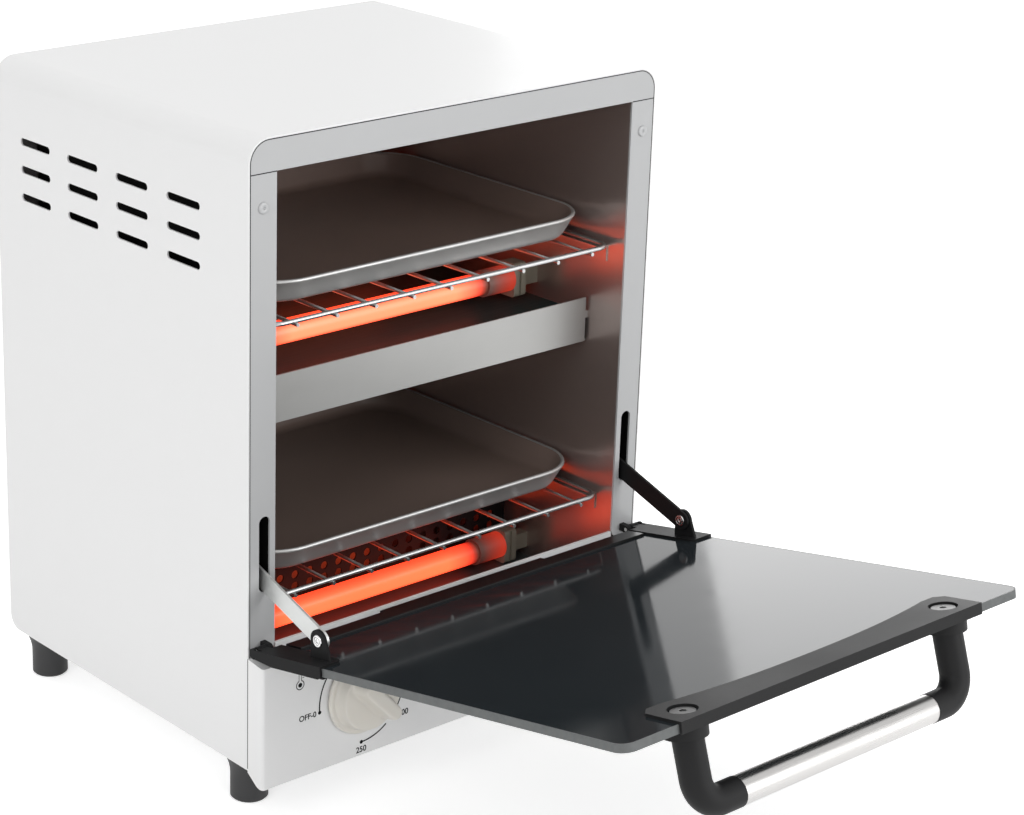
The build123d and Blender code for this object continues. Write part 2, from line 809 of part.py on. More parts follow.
# Instrument tray: flared walls, rounded bottom edge and a rolled rim.
rim_half = 110.2
rim_bead = 1.1
tray_shift = 3.2  # the trays lie a little to the right on the racks
tray_corner = 27.0
wall_flare = 5.5
tray_sheet = 0.8
tray_depth = 12.5
tray_bottom_round = 4.0
for tier, rack_height in rack_heights.items():
    tray_z = height(rack_height) + frame_wire + body_gap
    tray_middle = depth((tray_front + tray_back) / 2)
    rim_width = 2 * rim_half
    rim_length = tray_back - tray_front
    with BuildPart() as tray:
        for inset, mode in ((0.0, Mode.ADD), (tray_sheet, Mode.SUBTRACT)):
            with BuildPart(mode=Mode.PRIVATE) as bowl:
                with BuildSketch(Plane.XY.offset(tray_z + inset)):
                    with Locations((tray_shift, tray_middle)):
                        RectangleRounded(
                            rim_width - 2 * (wall_flare + inset),
                            rim_length - 2 * (wall_flare + inset),
                            tray_corner - wall_flare - inset,
                        )
                with BuildSketch(Plane.XY.offset(tray_z + tray_depth)):
                    with Locations((tray_shift, tray_middle)):
                        RectangleRounded(
                            rim_width - 2 * inset, rim_length - 2 * inset, tray_corner - inset
                        )
                loft()
                fillet(bowl.edges().group_by(Axis.Z)[0], tray_bottom_round - inset)
            add(bowl.part, mode=mode)
        with BuildLine():
            rim = FilletPolyline(
                (tray_shift - rim_half, tray_middle - rim_length / 2, tray_z + tray_depth),
                (tray_shift + rim_half, tray_middle - rim_length / 2, tray_z + tray_depth),
                (tray_shift + rim_half, tray_middle + rim_length / 2, tray_z + tray_depth),
                (tray_shift - rim_half, tray_middle + rim_length / 2, tray_z + tray_depth),
                radius=tray_corner,
                close=True,
            )
        with BuildSketch(Plane(origin=rim @ 0, z_dir=rim % 0)):
            Circle(rim_bead)
        sweep()
    save(tray, f"tray_{tier}")

# =====================================================================================
# Door
# =====================================================================================

glass_hole = 2.6
with BuildPart() as door_glass:
    with BuildSketch(on_door(-glass_thickness)):
        with Locations((0, -(glass_near + glass_far) / 2)):
            pane = Rectangle(2 * glass_half_width, glass_far - glass_near)
        fillet(pane.vertices().group_by(Axis.Y)[0], 7.0)
        with Locations((-handle_x, -handle_along), (handle_x, -handle_along)):
            Circle(glass_hole, mode=Mode.SUBTRACT)
    extrude(amount=glass_thickness)
save(door_glass, "door_glass")

# Channel along the hinge side that grips the edge of the glass; its back is cut in at the ends.
rail_half = 117.0
rail_top = 1.2
rail_under = 1.2
rail_near = 3.5
rail_end_near = 6.5
rail_step_x = 55.0
with BuildPart() as hinge_rail:
    with BuildSketch(beside_door(rail_half)):
        with BuildLine():
            Polyline(
                (rail_near, -glass_thickness - rail_under),
                (18.5, -glass_thickness - rail_under),
                (18.5, -glass_thickness),
                (glass_near, -glass_thickness),
                (glass_near, 0),
                (18.5, 0),
                (18.5, rail_top),
                (rail_near, rail_top),
                close=True,
            )
        make_face()
    extrude(amount=2 * rail_half)
    far_edges = hinge_rail.edges().filter_by(Axis.X).group_by(Axis.Z)[-1]
    fillet(far_edges, 0.5)
    for side in sides.values():
        with BuildSketch(door_slab(side, rail_step_x, rail_half)):
            with Locations(((rail_near + rail_end_near) / 2, -glass_thickness / 2)):
                Rectangle(rail_end_near - rail_near, 2 * glass_thickness)
        extrude(amount=rail_half - rail_step_x, mode=Mode.SUBTRACT)
save(hinge_rail, "hinge_rail")

# Corner brackets: hinge knuckle, plates over and under the glass, link ear, and a side wall that
# reaches back past the hinge as a rounded tongue.
bracket_along = 53.0
bracket_sheet = 1.2
bracket_near = 5.5
knuckle_radius = 2.1
tongue_radius = 2.7
tongue_end = 14.0
wall_inner_x = glass_half_width + 0.2
wall_outer_x = wall_inner_x + 1.2
ear_inner_x = 122.9
ear_outer_x = 124.4
ear_radius = 5.5
ear_foot = (35.5, 50.5)
for name, side in sides.items():
    with BuildPart() as bracket:
        with BuildSketch(door_slab(side, wall_inner_x, wall_outer_x)):
            wall_high = glass_thickness + 2 * bracket_sheet
            with Locations(((tongue_end + bracket_along) / 2, -glass_thickness / 2)):
                wall = Rectangle(bracket_along - tongue_end, wall_high)
            fillet(wall.vertices().group_by(Axis.X)[-1].sort_by(Axis.Y)[0], 3.0)
            with Locations((0, -0.7)):
                Circle(tongue_radius)
            with BuildLine():
                Polyline(
                    (-0.6, 1.2),
                    (tongue_end + 1.0, bracket_sheet),
                    (tongue_end + 1.0, -glass_thickness - bracket_sheet),
                    (tongue_end, -glass_thickness - bracket_sheet),
                    (-0.9, -3.0),
                    close=True,
                )
            make_face()
        extrude(amount=wall_outer_x - wall_inner_x)
        under_glass = -glass_thickness - bracket_sheet
        for near_x, above, begin in ((119.0, 0.0, bracket_near), (122.0, under_glass, tongue_end)):
            with BuildSketch(on_door(above)):
                with Locations((side * (near_x + wall_inner_x) / 2, -(begin + bracket_along) / 2)):
                    plate = Rectangle(wall_inner_x - near_x, bracket_along - begin)
                inner = plate.vertices().group_by(Axis.Y)[0].sort_by(Axis.X)[-1 if side < 0 else 0]
                fillet(inner, 3.0)
            extrude(amount=bracket_sheet)
        with BuildSketch(door_slab(side, knuckle_inner_x, pin_end_x)):
            Circle(knuckle_radius)
            with Locations(((bracket_near + 1.0) / 2, bracket_sheet / 2)):
                Rectangle(bracket_near + 1.0, bracket_sheet)
        extrude(amount=pin_end_x - knuckle_inner_x)
        with BuildSketch(door_slab(side, knuckle_inner_x, pin_end_x)):
            Circle(pin_radius + running_clearance)
        extrude(amount=pin_end_x - knuckle_inner_x, mode=Mode.SUBTRACT)
        with BuildSketch(door_slab(side, ear_inner_x, ear_outer_x)):
            with BuildLine():
                Polyline((ear_foot[0], 0), (ear_foot[1], 0), (ear_along + ear_radius, ear_above))
                ThreePointArc(
                    (ear_along + ear_radius, ear_above),
                    (ear_along, ear_above + ear_radius),
                    (ear_along - ear_radius, ear_above),
                )
                Line((ear_along - ear_radius, ear_above), (ear_foot[0], 0))
            make_face()
            with Locations((ear_along, ear_above)):
                Circle(rivet_radius, mode=Mode.SUBTRACT)
        extrude(amount=ear_outer_x - ear_inner_x)
    save(bracket, f"door_bracket_{name}")

# Rivets that join the links to the ears.
rivet_head = 0.6
rivet_heads = ((link_inner_x - body_gap - rivet_head, 3.0), (ear_outer_x, 3.2))
with BuildPart() as link_rivets:
    for side in sides.values():
        near = link_inner_x - body_gap
        with BuildSketch(door_slab(side, near, ear_outer_x)):
            with Locations((ear_along, ear_above)):
                Circle(rivet_radius)
        extrude(amount=ear_outer_x - near)
        for head_x, head_radius in rivet_heads:
            with BuildSketch(door_slab(side, head_x, head_x + rivet_head)):
                with Locations((ear_along, ear_above)):
                    Circle(head_radius)
            extrude(amount=rivet_head)
save(link_rivets, "link_rivets")

# Band along the free edge: flat on the glass, a lip over its edge, holes for the screws.
band_half = 99.4
band_sheet = 1.4
band_far = 256.2
lip_near = glass_far + 0.3
with BuildPart() as handle_band:
    with BuildSketch(on_door(0)):
        with BuildLine():
            Polyline(
                (-87.0, -231.0),
                (-95.0, -231.0),
                (-band_half, -235.0),
                (-band_half, -band_far),
                (band_half, -band_far),
                (band_half, -235.0),
                (95.0, -231.0),
                (87.0, -231.0),
            )
            Spline((87.0, -231.0), (51.0, -236.4), (0, -238.5), (-51.0, -236.4), (-87.0, -231.0))
        make_face()
        with Locations((-handle_x, -handle_along), (handle_x, -handle_along)):
            Circle(6.9, mode=Mode.SUBTRACT)
    extrude(amount=band_sheet)
    with BuildSketch(on_door(-glass_thickness - 0.2)):
        with Locations((0, -(lip_near + band_far) / 2)):
            Rectangle(2 * band_half, band_far - lip_near)
    extrude(amount=glass_thickness + 0.2)
save(handle_band, "handle_band")

# Flat screws through the glass into the elbows, sunk in the band's holes, with hexagon sockets.
screw_head_radius = 5.7
screw_head_height = 0.6
with BuildPart() as handle_screws:
    with BuildSketch(on_door(-12.0)):
        with Locations((-handle_x, -handle_along), (handle_x, -handle_along)):
            Circle(2.0)
    extrude(amount=12.0)
    with BuildSketch(on_door(0)):
        with Locations((-handle_x, -handle_along), (handle_x, -handle_along)):
            Circle(screw_head_radius)
    extrude(amount=screw_head_height)
    with BuildSketch(on_door(screw_head_height / 3)):
        with Locations((-handle_x, -handle_along), (handle_x, -handle_along)):
            RegularPolygon(1.7, 6)
    extrude(amount=2.0, mode=Mode.SUBTRACT)
save(handle_screws, "handle_screws")

# Elbows: collar under the glass, then a tube that bends inwards to the bar.
collar_radius = 10.4
collar_length = 6.0
elbow_bend = 12.0
tilt = radians(handle_tilt)
across_handle = Plane(
    origin=(0, hinge_y - handle_along * cos(rise), hinge_z + handle_along * sin(rise)),
    x_dir=(1, 0, 0),
    z_dir=(0, -cos(rise + tilt), sin(rise + tilt)),
)
for name, side in sides.items():
    with BuildPart() as elbow:
        with BuildLine(across_handle):
            bend = FilletPolyline(
                (side * handle_x, -glass_thickness - 1.0),
                (side * handle_x, -handle_drop),
                (side * bar_half, -handle_drop),
                radius=elbow_bend,
            )
        with BuildSketch(Plane(origin=bend @ 0, z_dir=bend % 0)):
            Circle(elbow_radius)
        sweep()
        with BuildSketch(on_door(-glass_thickness)):
            with Locations((side * handle_x, -handle_along)):
                Circle(collar_radius)
        extrude(amount=-collar_length)
        with BuildSketch(on_door(-glass_thickness)):
            with Locations((side * handle_x, -handle_along)):
                Circle(2.0)
        extrude(amount=-9.0, mode=Mode.SUBTRACT)
    save(elbow, f"handle_elbow_{name}")

with BuildPart() as handle_bar:
    with BuildSketch(beside_door(bar_half)):
        with Locations((handle_along + handle_drop * sin(tilt), -handle_drop * cos(tilt))):
            Circle(bar_radius)
    extrude(amount=2 * bar_half)
save(handle_bar, "handle_bar")

# =====================================================================================
# Door links and their springs
# =====================================================================================

# Flat link from the door's ear, through the post's slot, to the balance spring in the bay.
link_middle = ((ear_y + link_end_y) / 2, (ear_z + link_end_z) / 2)
for name, side in sides.items():
    with BuildPart() as link:
        with BuildSketch(across(side * link_inner_x)):
            with Locations(link_middle):
                SlotCenterToCenter(link_length, 2 * link_half_height, rotation=link_rise)
            with Locations((ear_y, ear_z)):
                Circle(rivet_radius + running_clearance, mode=Mode.SUBTRACT)
            with Locations((link_end_y, link_end_z)):
                Circle(1.6, mode=Mode.SUBTRACT)
        extrude(amount=side * link_sheet)
    save(link, f"door_link_{name}")

# Balance springs, stretched while the door is open, and the bars that hold their far ends.
spring_x = link_inner_x + link_sheet / 2
spring_radius = 3.5
spring_start = link_end_y + 9.0
anchor_y = depth(126.0)
with BuildPart() as door_springs:
    for side in sides.values():
        with BuildSketch(facing_front(spring_start)):
            with Locations((side * spring_x, link_end_z)):
                Circle(spring_radius)
                Circle(spring_radius - 0.9, mode=Mode.SUBTRACT)
        extrude(amount=-(anchor_y - 8.0 - spring_start))
        with BuildSketch(facing_front(link_end_y + link_half_height + 1.0)):
            with Locations((side * spring_x, link_end_z)):
                Circle(0.6)
        extrude(amount=-(anchor_y - 2.0 - link_end_y - link_half_height - 1.0))
        for end_y in (spring_start, anchor_y - 9.0):
            with BuildSketch(facing_front(end_y)):
                with Locations((side * spring_x, link_end_z)):
                    Circle(spring_radius)
            extrude(amount=-1.0)
save(door_springs, "door_springs")

anchor_radius = 2.0
with BuildPart() as spring_anchors:
    for side in sides.values():
        with BuildSketch(across(side * (liner_inner_x + liner_sheet))):
            with Locations((anchor_y, link_end_z)):
                Circle(anchor_radius)
        extrude(amount=side * (inner_half - liner_inner_x - liner_sheet))
save(spring_anchors, "spring_anchors")
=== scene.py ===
"""A two-tier dry heat sterilizer with its glass door folded down, on a plain pale floor."""

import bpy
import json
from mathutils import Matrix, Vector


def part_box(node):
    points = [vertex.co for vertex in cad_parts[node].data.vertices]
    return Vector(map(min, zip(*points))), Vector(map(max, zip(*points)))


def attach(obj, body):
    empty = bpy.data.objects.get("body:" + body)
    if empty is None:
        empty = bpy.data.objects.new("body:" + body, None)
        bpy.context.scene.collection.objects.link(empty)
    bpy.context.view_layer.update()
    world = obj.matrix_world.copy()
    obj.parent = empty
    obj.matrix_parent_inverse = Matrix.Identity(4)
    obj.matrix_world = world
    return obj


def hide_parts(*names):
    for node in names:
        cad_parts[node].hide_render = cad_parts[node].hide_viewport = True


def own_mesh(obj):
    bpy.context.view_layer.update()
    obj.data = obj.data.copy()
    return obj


bl_info = {
    "name": "Dry Heat Sterilizer",
    "version": (1, 0, 0),
    "blender": (4, 5, 0),
    "location": "3D View > Sidebar > Sterilizer",
    "description": "Builds the visible pieces and finishes of a two-tier dry heat sterilizer",
    "category": "Object",
}

import json
import math

import bmesh
import bpy
from bpy.props import FloatProperty, FloatVectorProperty, IntProperty, PointerProperty
from mathutils import Matrix, Vector

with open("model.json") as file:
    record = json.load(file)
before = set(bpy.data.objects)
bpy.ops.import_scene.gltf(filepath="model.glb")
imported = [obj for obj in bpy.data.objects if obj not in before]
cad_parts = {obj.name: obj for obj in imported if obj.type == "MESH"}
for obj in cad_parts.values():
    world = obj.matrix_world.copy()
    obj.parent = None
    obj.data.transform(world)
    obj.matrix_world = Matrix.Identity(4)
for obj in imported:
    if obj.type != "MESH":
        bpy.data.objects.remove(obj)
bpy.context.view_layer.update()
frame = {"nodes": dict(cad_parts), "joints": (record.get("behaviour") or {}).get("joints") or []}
nodes = frame["nodes"]
joints = {joint["name"]: joint for joint in frame["joints"]}

MM = 0.001
TAU = 2 * math.pi

# ---- sizes that the detail needs, in metres ----
shell_corner = 12 * MM
shell_sheet = 1 * MM
sill_rise = 4.3 * MM
panel_slope = 1.5 * MM
panel_edge = 1.8 * MM
print_lift = 0.06 * MM
arc_gap = 0.34  # share of a dial's step that its arc leaves open after a figure
gap_middle = 0.14  # share of the step, past its own place, at which a figure in that gap stands
liner_outer_x = 117.1 * MM
ear_inner_x = 120.9 * MM  # the bracket ears' faces towards the cavity
glass_reach = 254.5 * MM  # from the hinge line to the pane's far edge
thermometer_place = (-108.8 * MM, 69.3 * MM)  # x and z of its bulb on the panel

# ---- places that the frame gives ----
panel_low, panel_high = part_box("control_panel")
shell_low, shell_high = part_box("outer_shell")
panel_face = panel_low.y
panel_crown = panel_high.z - sill_rise
face_top = panel_crown - panel_slope - panel_edge
front_face = shell_low.y
hinge = Vector(joints["door_hinge"]["pos_m"])
door_rise = math.radians(11.5)
door_out = Vector((0, -math.cos(door_rise), math.sin(door_rise)))


# ---- settings ----


def colour_setting(name, description, value):
    """A colour that a user can change."""
    return FloatVectorProperty(
        name=name, description=description, subtype="COLOR", size=3, min=0, max=1, default=value
    )


def length_setting(name, description, low, high, value):
    """A length that a user can change, in metres."""
    return FloatProperty(
        name=name, description=description, unit="LENGTH", min=low, max=high, default=value
    )


class CasingSettings(bpy.types.PropertyGroup):
    """Colours of the casing, the front frame and the control panel."""

    enamel: colour_setting("Enamel", "Colour of the white casing", (0.80, 0.80, 0.80))
    moulding: colour_setting("Panel moulding", "Colour of the control panel", (0.80, 0.80, 0.80))
    satin: colour_setting("Front frame", "Colour of the band and posts", (0.465, 0.47, 0.475))
    cream: colour_setting("Knobs", "Colour of the knobs", (0.72, 0.69, 0.63))
    ink: colour_setting("Ink", "Colour of the dial marks", (0.006, 0.006, 0.006))
    dial_radius: length_setting("Dial radius", "Radius of the printed dial arcs", 0.023, 0.03, 0.0273)
    figure_size: length_setting("Figure size", "Size of the dial's figures", 0.003, 0.007, 0.0045)


class CavitySettings(bpy.types.PropertyGroup):
    """Finishes and shapes inside the two tiers."""

    steel: colour_setting("Liner steel", "Tint of the heat-stained liner", (0.55, 0.46, 0.43))
    glow: colour_setting("Glow", "Colour of the glowing tubes", (1.0, 0.088, 0.022))
    glow_strength: FloatProperty(
        name="Glow strength", description="Emission of the glowing tubes", min=0, default=2.5
    )
    tray_inside: colour_setting("Tray inside", "Colour of the trays' inner coat", (0.24, 0.175, 0.15))
    tray_outside: colour_setting("Tray outside", "Colour of the trays' bare metal", (0.58, 0.58, 0.57))
    tray_flare: length_setting("Tray flare", "How far a tray's walls lean out", 0.002, 0.01, 0.0055)
    tray_corner: length_setting("Tray corner", "Corner radius of a tray's rim", 0.012, 0.03, 0.027)


class DoorSettings(bpy.types.PropertyGroup):
    """Finishes of the door."""

    tint: colour_setting("Glass tint", "Colour of the dark pane", (0.020, 0.024, 0.027))
    gloss: FloatProperty(
        name="Glass index", description="Refractive index of the pane's face", min=1.1, max=3,
        default=1.14,
    )
    coat: colour_setting("Black coat", "Colour of the black metal parts", (0.015, 0.015, 0.0155))
    spring_turns: IntProperty(
        name="Spring turns", description="Turns in each balance spring", min=8, max=60, default=34
    )


class StageSettings(bpy.types.PropertyGroup):
    """Camera and lights."""

    camera_place: FloatVectorProperty(
        name="Camera place", description="Where the camera stands", subtype="TRANSLATION",
        unit="LENGTH", size=3, default=(-0.84304, -0.91510, 0.64466),
    )
    azimuth: FloatProperty(
        name="Heading", description="Camera heading, from +Y towards +X", subtype="ANGLE",
        default=0.69399,
    )
    dip: FloatProperty(
        name="Dip", description="How far the camera looks down", subtype="ANGLE", default=0.33034
    )
    roll: FloatProperty(name="Roll", description="Camera roll", subtype="ANGLE", default=0.01568)
    lens: FloatProperty(name="Lens", description="Focal length in millimetres", default=93.32)
    shift_x: FloatProperty(name="Shift across", description="Lens shift", default=0.15)
    shift_y: FloatProperty(name="Shift up", description="Lens shift", default=-0.05)


# ---- materials ----


def new_material(name):
    """A material with its node tree, its shader and a texture coordinate node."""
    material = bpy.data.materials.new(name)
    material.use_nodes = True
    tree = material.node_tree
    shader = tree.nodes["Principled BSDF"]
    place = tree.nodes.new("ShaderNodeTexCoord")
    return material, tree, shader, place.outputs["Object"]


def feed(tree, node, values):
    """Give sockets of a node their values; each is a plain value or the output of a node."""
    for socket, value in values.items():
        if isinstance(value, bpy.types.NodeSocket):
            tree.links.new(value, node.inputs[socket])
        else:
            node.inputs[socket].default_value = value


def noise(tree, source, scale, detail=3.0, stretch=(1, 1, 1)):
    """A noise value over the object, drawn out along the axes by stretch."""
    mapping = tree.nodes.new("ShaderNodeMapping")
    feed(tree, mapping, {"Scale": stretch, "Vector": source})
    texture = tree.nodes.new("ShaderNodeTexNoise")
    feed(tree, texture, {"Scale": scale, "Detail": detail, "Vector": mapping.outputs["Vector"]})
    return texture.outputs["Fac"]


def remap(tree, value, low, high, start=0.0, end=1.0):
    """value between start and end, mapped to low and high."""
    node = tree.nodes.new("ShaderNodeMapRange")
    feed(tree, node, {"Value": value, "From Min": start, "From Max": end, "To Min": low, "To Max": high})
    return node.outputs["Result"]


def math_node(tree, operation, first, second=None):
    """A math node on one or two values."""
    node = tree.nodes.new("ShaderNodeMath")
    node.operation = operation
    feed(tree, node, {0: first} if second is None else {0: first, 1: second})
    return node.outputs["Value"]


def mix_colours(tree, factor, first, second):
    """A colour between two colours; each is plain or the output of a node."""
    node = tree.nodes.new("ShaderNodeMix")
    node.data_type = "RGBA"
    ends = [end if isinstance(end, bpy.types.NodeSocket) else (*end[:3], 1.0) for end in (first, second)]
    feed(tree, node, {0: factor, 6: ends[0], 7: ends[1]})
    return node.outputs[2]


def bump(tree, shader, height, depth):
    """Bump the surface by a height value; depth is in metres."""
    node = tree.nodes.new("ShaderNodeBump")
    feed(tree, node, {"Distance": depth, "Height": height})
    feed(tree, shader, {"Normal": node.outputs["Normal"]})


def shade(colour, amount):
    """A colour made lighter or darker by a share."""
    return tuple(min(1.0, c * (1 + amount)) for c in colour)


def painted(name, colour, roughness, grain, depth, variation=0.03, coat=0.0, specular=0.5):
    """Paint or moulding: faint mottling, uneven gloss and a fine pebbled surface."""
    material, tree, shader, place = new_material(name)
    broad = noise(tree, place, 14.0, 4.0)
    fine = noise(tree, place, grain, 2.0)
    feed(tree, shader, {
        "Base Color": mix_colours(tree, broad, shade(colour, -variation), shade(colour, variation)),
        "Roughness": remap(tree, broad, roughness - 0.05, roughness + 0.05, 0.3, 0.7),
        "Coat Weight": coat,
        "Coat Roughness": 0.12,
        "Specular IOR Level": specular,
    })
    bump(tree, shader, fine, depth)
    return material


def drawn_metal(
    name, colour, roughness, grain_along, depth=0.00002, variation=0.12, metallic=1.0, uneven=0.28
):
    """Rolled or drawn metal: fine lines along one axis, cloudy tint and gloss."""
    material, tree, shader, place = new_material(name)
    stretch = {"X": (0.02, 1, 1), "Y": (1, 0.02, 1), "Z": (1, 1, 0.02)}[grain_along]
    lines = noise(tree, place, 2200.0, 3.0, stretch)
    clouds = noise(tree, place, 22.0, 5.0)
    lined = math_node(tree, "MULTIPLY", lines, 0.45)
    both = math_node(tree, "ADD", lined, math_node(tree, "MULTIPLY", clouds, 0.55))
    feed(tree, shader, {
        "Base Color": mix_colours(tree, both, shade(colour, -variation), shade(colour, variation)),
        "Roughness": remap(tree, both, roughness * (1 - uneven), roughness * (1 + uneven), 0.3, 0.7),
        "Metallic": metallic,
    })
    bump(tree, shader, lines, depth)
    return material


def parts_of(tree, place):
    """The x, y and z of a place."""
    node = tree.nodes.new("ShaderNodeSeparateXYZ")
    feed(tree, node, {"Vector": place})
    return node.outputs["X"], node.outputs["Y"], node.outputs["Z"]


def rounded_distance(tree, across, beyond, radius):
    """How far a place lies outside a round corner; the values are measured from its centre."""
    first = math_node(tree, "POWER", math_node(tree, "MAXIMUM", across, 0.0), 2.0)
    second = math_node(tree, "POWER", math_node(tree, "MAXIMUM", beyond, 0.0), 2.0)
    corner = math_node(tree, "SQRT", math_node(tree, "ADD", first, second))
    flat = math_node(tree, "MINIMUM", math_node(tree, "MAXIMUM", across, beyond), 0.0)
    return math_node(tree, "SUBTRACT", math_node(tree, "ADD", corner, flat), radius)


def outline_distance(tree, place):
    """How far a place lies outside the casing's rounded outline, seen from the front."""
    x, _, z = parts_of(tree, place)
    across = math_node(tree, "SUBTRACT", math_node(tree, "ABSOLUTE", x), shell_high.x - shell_corner)
    above = math_node(tree, "SUBTRACT", z, shell_high.z - shell_corner)
    return rounded_distance(tree, across, above, shell_corner)


def assign(material, *names):
    """Give CAD nodes this one material."""
    for name in names:
        mesh = nodes[name].data
        mesh.materials.clear()
        mesh.materials.append(material)


# ---- mesh helpers ----


def add_piece(name, mesh, material, body, smooth=True):
    """Put a mesh into the scene as a piece that rides on a body."""
    piece = bpy.data.objects.new(name, mesh)
    bpy.context.scene.collection.objects.link(piece)
    materials = material if isinstance(material, (list, tuple)) else [material]
    for item in materials:
        mesh.materials.append(item)
    if smooth:
        for polygon in mesh.polygons:
            polygon.use_smooth = True
    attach(piece, body)
    return piece


def mesh_from_rings(name, rings):
    """A closed mesh whose rings of equal length are joined one to the next."""
    mesh = bpy.data.meshes.new(name)
    work = bmesh.new()
    rows = [[work.verts.new(point) for point in ring] for ring in rings]
    count = len(rows[0])
    for low, high in zip(rows, rows[1:]):
        for i in range(count):
            j = (i + 1) % count
            work.faces.new((low[i], low[j], high[j], high[i]))
    work.faces.new(rows[0][::-1])
    work.faces.new(rows[-1])
    bmesh.ops.recalc_face_normals(work, faces=work.faces)
    work.to_mesh(mesh)
    work.free()
    return mesh


def tube_mesh(name, path, radius, sides):
    """A round tube along a path, with its rings square to the path."""
    points = [Vector(p) for p in path]
    rings = []
    normal = None
    for i, point in enumerate(points):
        tangent = (points[min(i + 1, len(points) - 1)] - points[max(i - 1, 0)]).normalized()
        if normal is None:
            normal = tangent.orthogonal().normalized()
        normal = (normal - tangent * normal.dot(tangent)).normalized()
        side = tangent.cross(normal)
        rings.append(
            [
                point + (normal * math.cos(TAU * k / sides) + side * math.sin(TAU * k / sides)) * radius
                for k in range(sides)
            ]
        )
    return mesh_from_rings(name, rings)


def rounded_rectangle(half_x, half_y, radius, steps):
    """Points round a rectangle with round corners, anticlockwise from the right side."""
    points = []
    for corner, (sx, sy) in enumerate(((1, 1), (-1, 1), (-1, -1), (1, -1))):
        for step in range(steps + 1):
            angle = TAU / 4 * (corner + step / steps)
            points.append(
                (
                    sx * (half_x - radius) + radius * math.cos(angle),
                    sy * (half_y - radius) + radius * math.sin(angle),
                )
            )
    return points


def lathe_mesh(name, profile, centre, axis):
    """A turned shape: profile holds pairs of radius and height along the axis from centre."""
    steps = 32
    axis = Vector(axis).normalized()
    side = axis.orthogonal().normalized()
    other = axis.cross(side)
    rings = []
    for radius, rise in profile:
        middle = Vector(centre) + axis * rise
        turn = [TAU * k / steps for k in range(steps)]
        rings.append([middle + (side * math.cos(a) + other * math.sin(a)) * radius for a in turn])
    return mesh_from_rings(name, rings)


def flat_ribbon(name, path, width, place):
    """A flat ribbon along a path of pairs; place turns each pair into a point."""
    points = [Vector(p) for p in path]
    mesh = bpy.data.meshes.new(name)
    edges = []
    for i, point in enumerate(points):
        ahead = (points[min(i + 1, len(points) - 1)] - points[max(i - 1, 0)]).normalized()
        aside = Vector((-ahead.y, ahead.x)) * width / 2
        edges.append((place(*(point + aside)), place(*(point - aside))))
    vertices = [v for pair in edges for v in pair]
    faces = [(2 * i, 2 * i + 2, 2 * i + 3, 2 * i + 1) for i in range(len(edges) - 1)]
    mesh.from_pydata(vertices, [], faces)
    return mesh


def soft_copy(node, voxel, rounds):
    """A copy of a CAD node's mesh with its edges softened, as if moulded."""
    source = nodes[node].data.copy()
    source.materials.clear()
    holder = bpy.data.objects.new("holder", source)
    bpy.context.scene.collection.objects.link(holder)
    remesh = holder.modifiers.new("remesh", "REMESH")
    remesh.mode = "VOXEL"
    remesh.voxel_size = voxel
    remesh.use_smooth_shade = True
    smooth = holder.modifiers.new("smooth", "SMOOTH")
    smooth.factor = 0.5
    smooth.iterations = rounds
    graph = bpy.context.evaluated_depsgraph_get()
    mesh = bpy.data.meshes.new_from_object(holder.evaluated_get(graph))
    bpy.data.objects.remove(holder)
    bpy.data.meshes.remove(source)
    mesh.materials.clear()
    return mesh


def join_meshes(name, meshes):
    """One mesh made of several."""
    work = bmesh.new()
    for mesh in meshes:
        work.from_mesh(mesh)
        bpy.data.meshes.remove(mesh)
    joined = bpy.data.meshes.new(name)
    work.to_mesh(joined)
    work.free()
    return joined


# ---- pieces ----


class STERILIZER_OT_casing(bpy.types.Operator):
    """Finish the shell, the bottom plate, the rear cover, the gland and the feet"""

    bl_idname = "sterilizer.casing"
    bl_label = "Casing"

    def execute(self, context):
        settings = context.scene.sterilizer_casing
        assign(self.shell_material(settings), "outer_shell")
        enamel = painted("white_enamel", settings.enamel, 0.36, 900.0, 0.00003, 0.012, coat=0.15)
        assign(enamel, "bottom_plate", "rear_cover")
        black = painted("black_rubber", (0.021, 0.021, 0.022), 0.55, 700.0, 0.00004, 0.12)
        assign(black, "cord_gland", "foot_front_left", "foot_front_right")
        assign(black, "foot_rear_left", "foot_rear_right")
        zinc = drawn_metal("zinc_screws", (0.5, 0.5, 0.5), 0.32, "X")
        assign(zinc, "rear_cover_screws", "foot_screws")
        return {"FINISHED"}

    def shell_material(self, settings):
        """White enamel outside; painted shade on the inner face, a near-black tone so that the space
        behind the post slots looks dark.
        """
        material = painted("shell_enamel", settings.enamel, 0.36, 900.0, 0.00003, 0.012, coat=0.15)
        tree = material.node_tree
        shader = tree.nodes["Principled BSDF"]
        place = next(n for n in tree.nodes if n.type == "TEX_COORD").outputs["Object"]
        enamel = shader.inputs["Base Color"].links[0].from_socket
        # painted shade: faces lying more than the sheet's thickness inside the outline take a near-black
        # tone
        inside = math_node(tree, "LESS_THAN", outline_distance(tree, place), -0.9 * shell_sheet)
        clouds = noise(tree, place, 40.0)
        inner_face_shade = mix_colours(tree, clouds, (0.030, 0.030, 0.031), (0.045, 0.044, 0.043))
        feed(tree, shader, {"Base Color": mix_colours(tree, inside, enamel, inner_face_shade)})
        return material


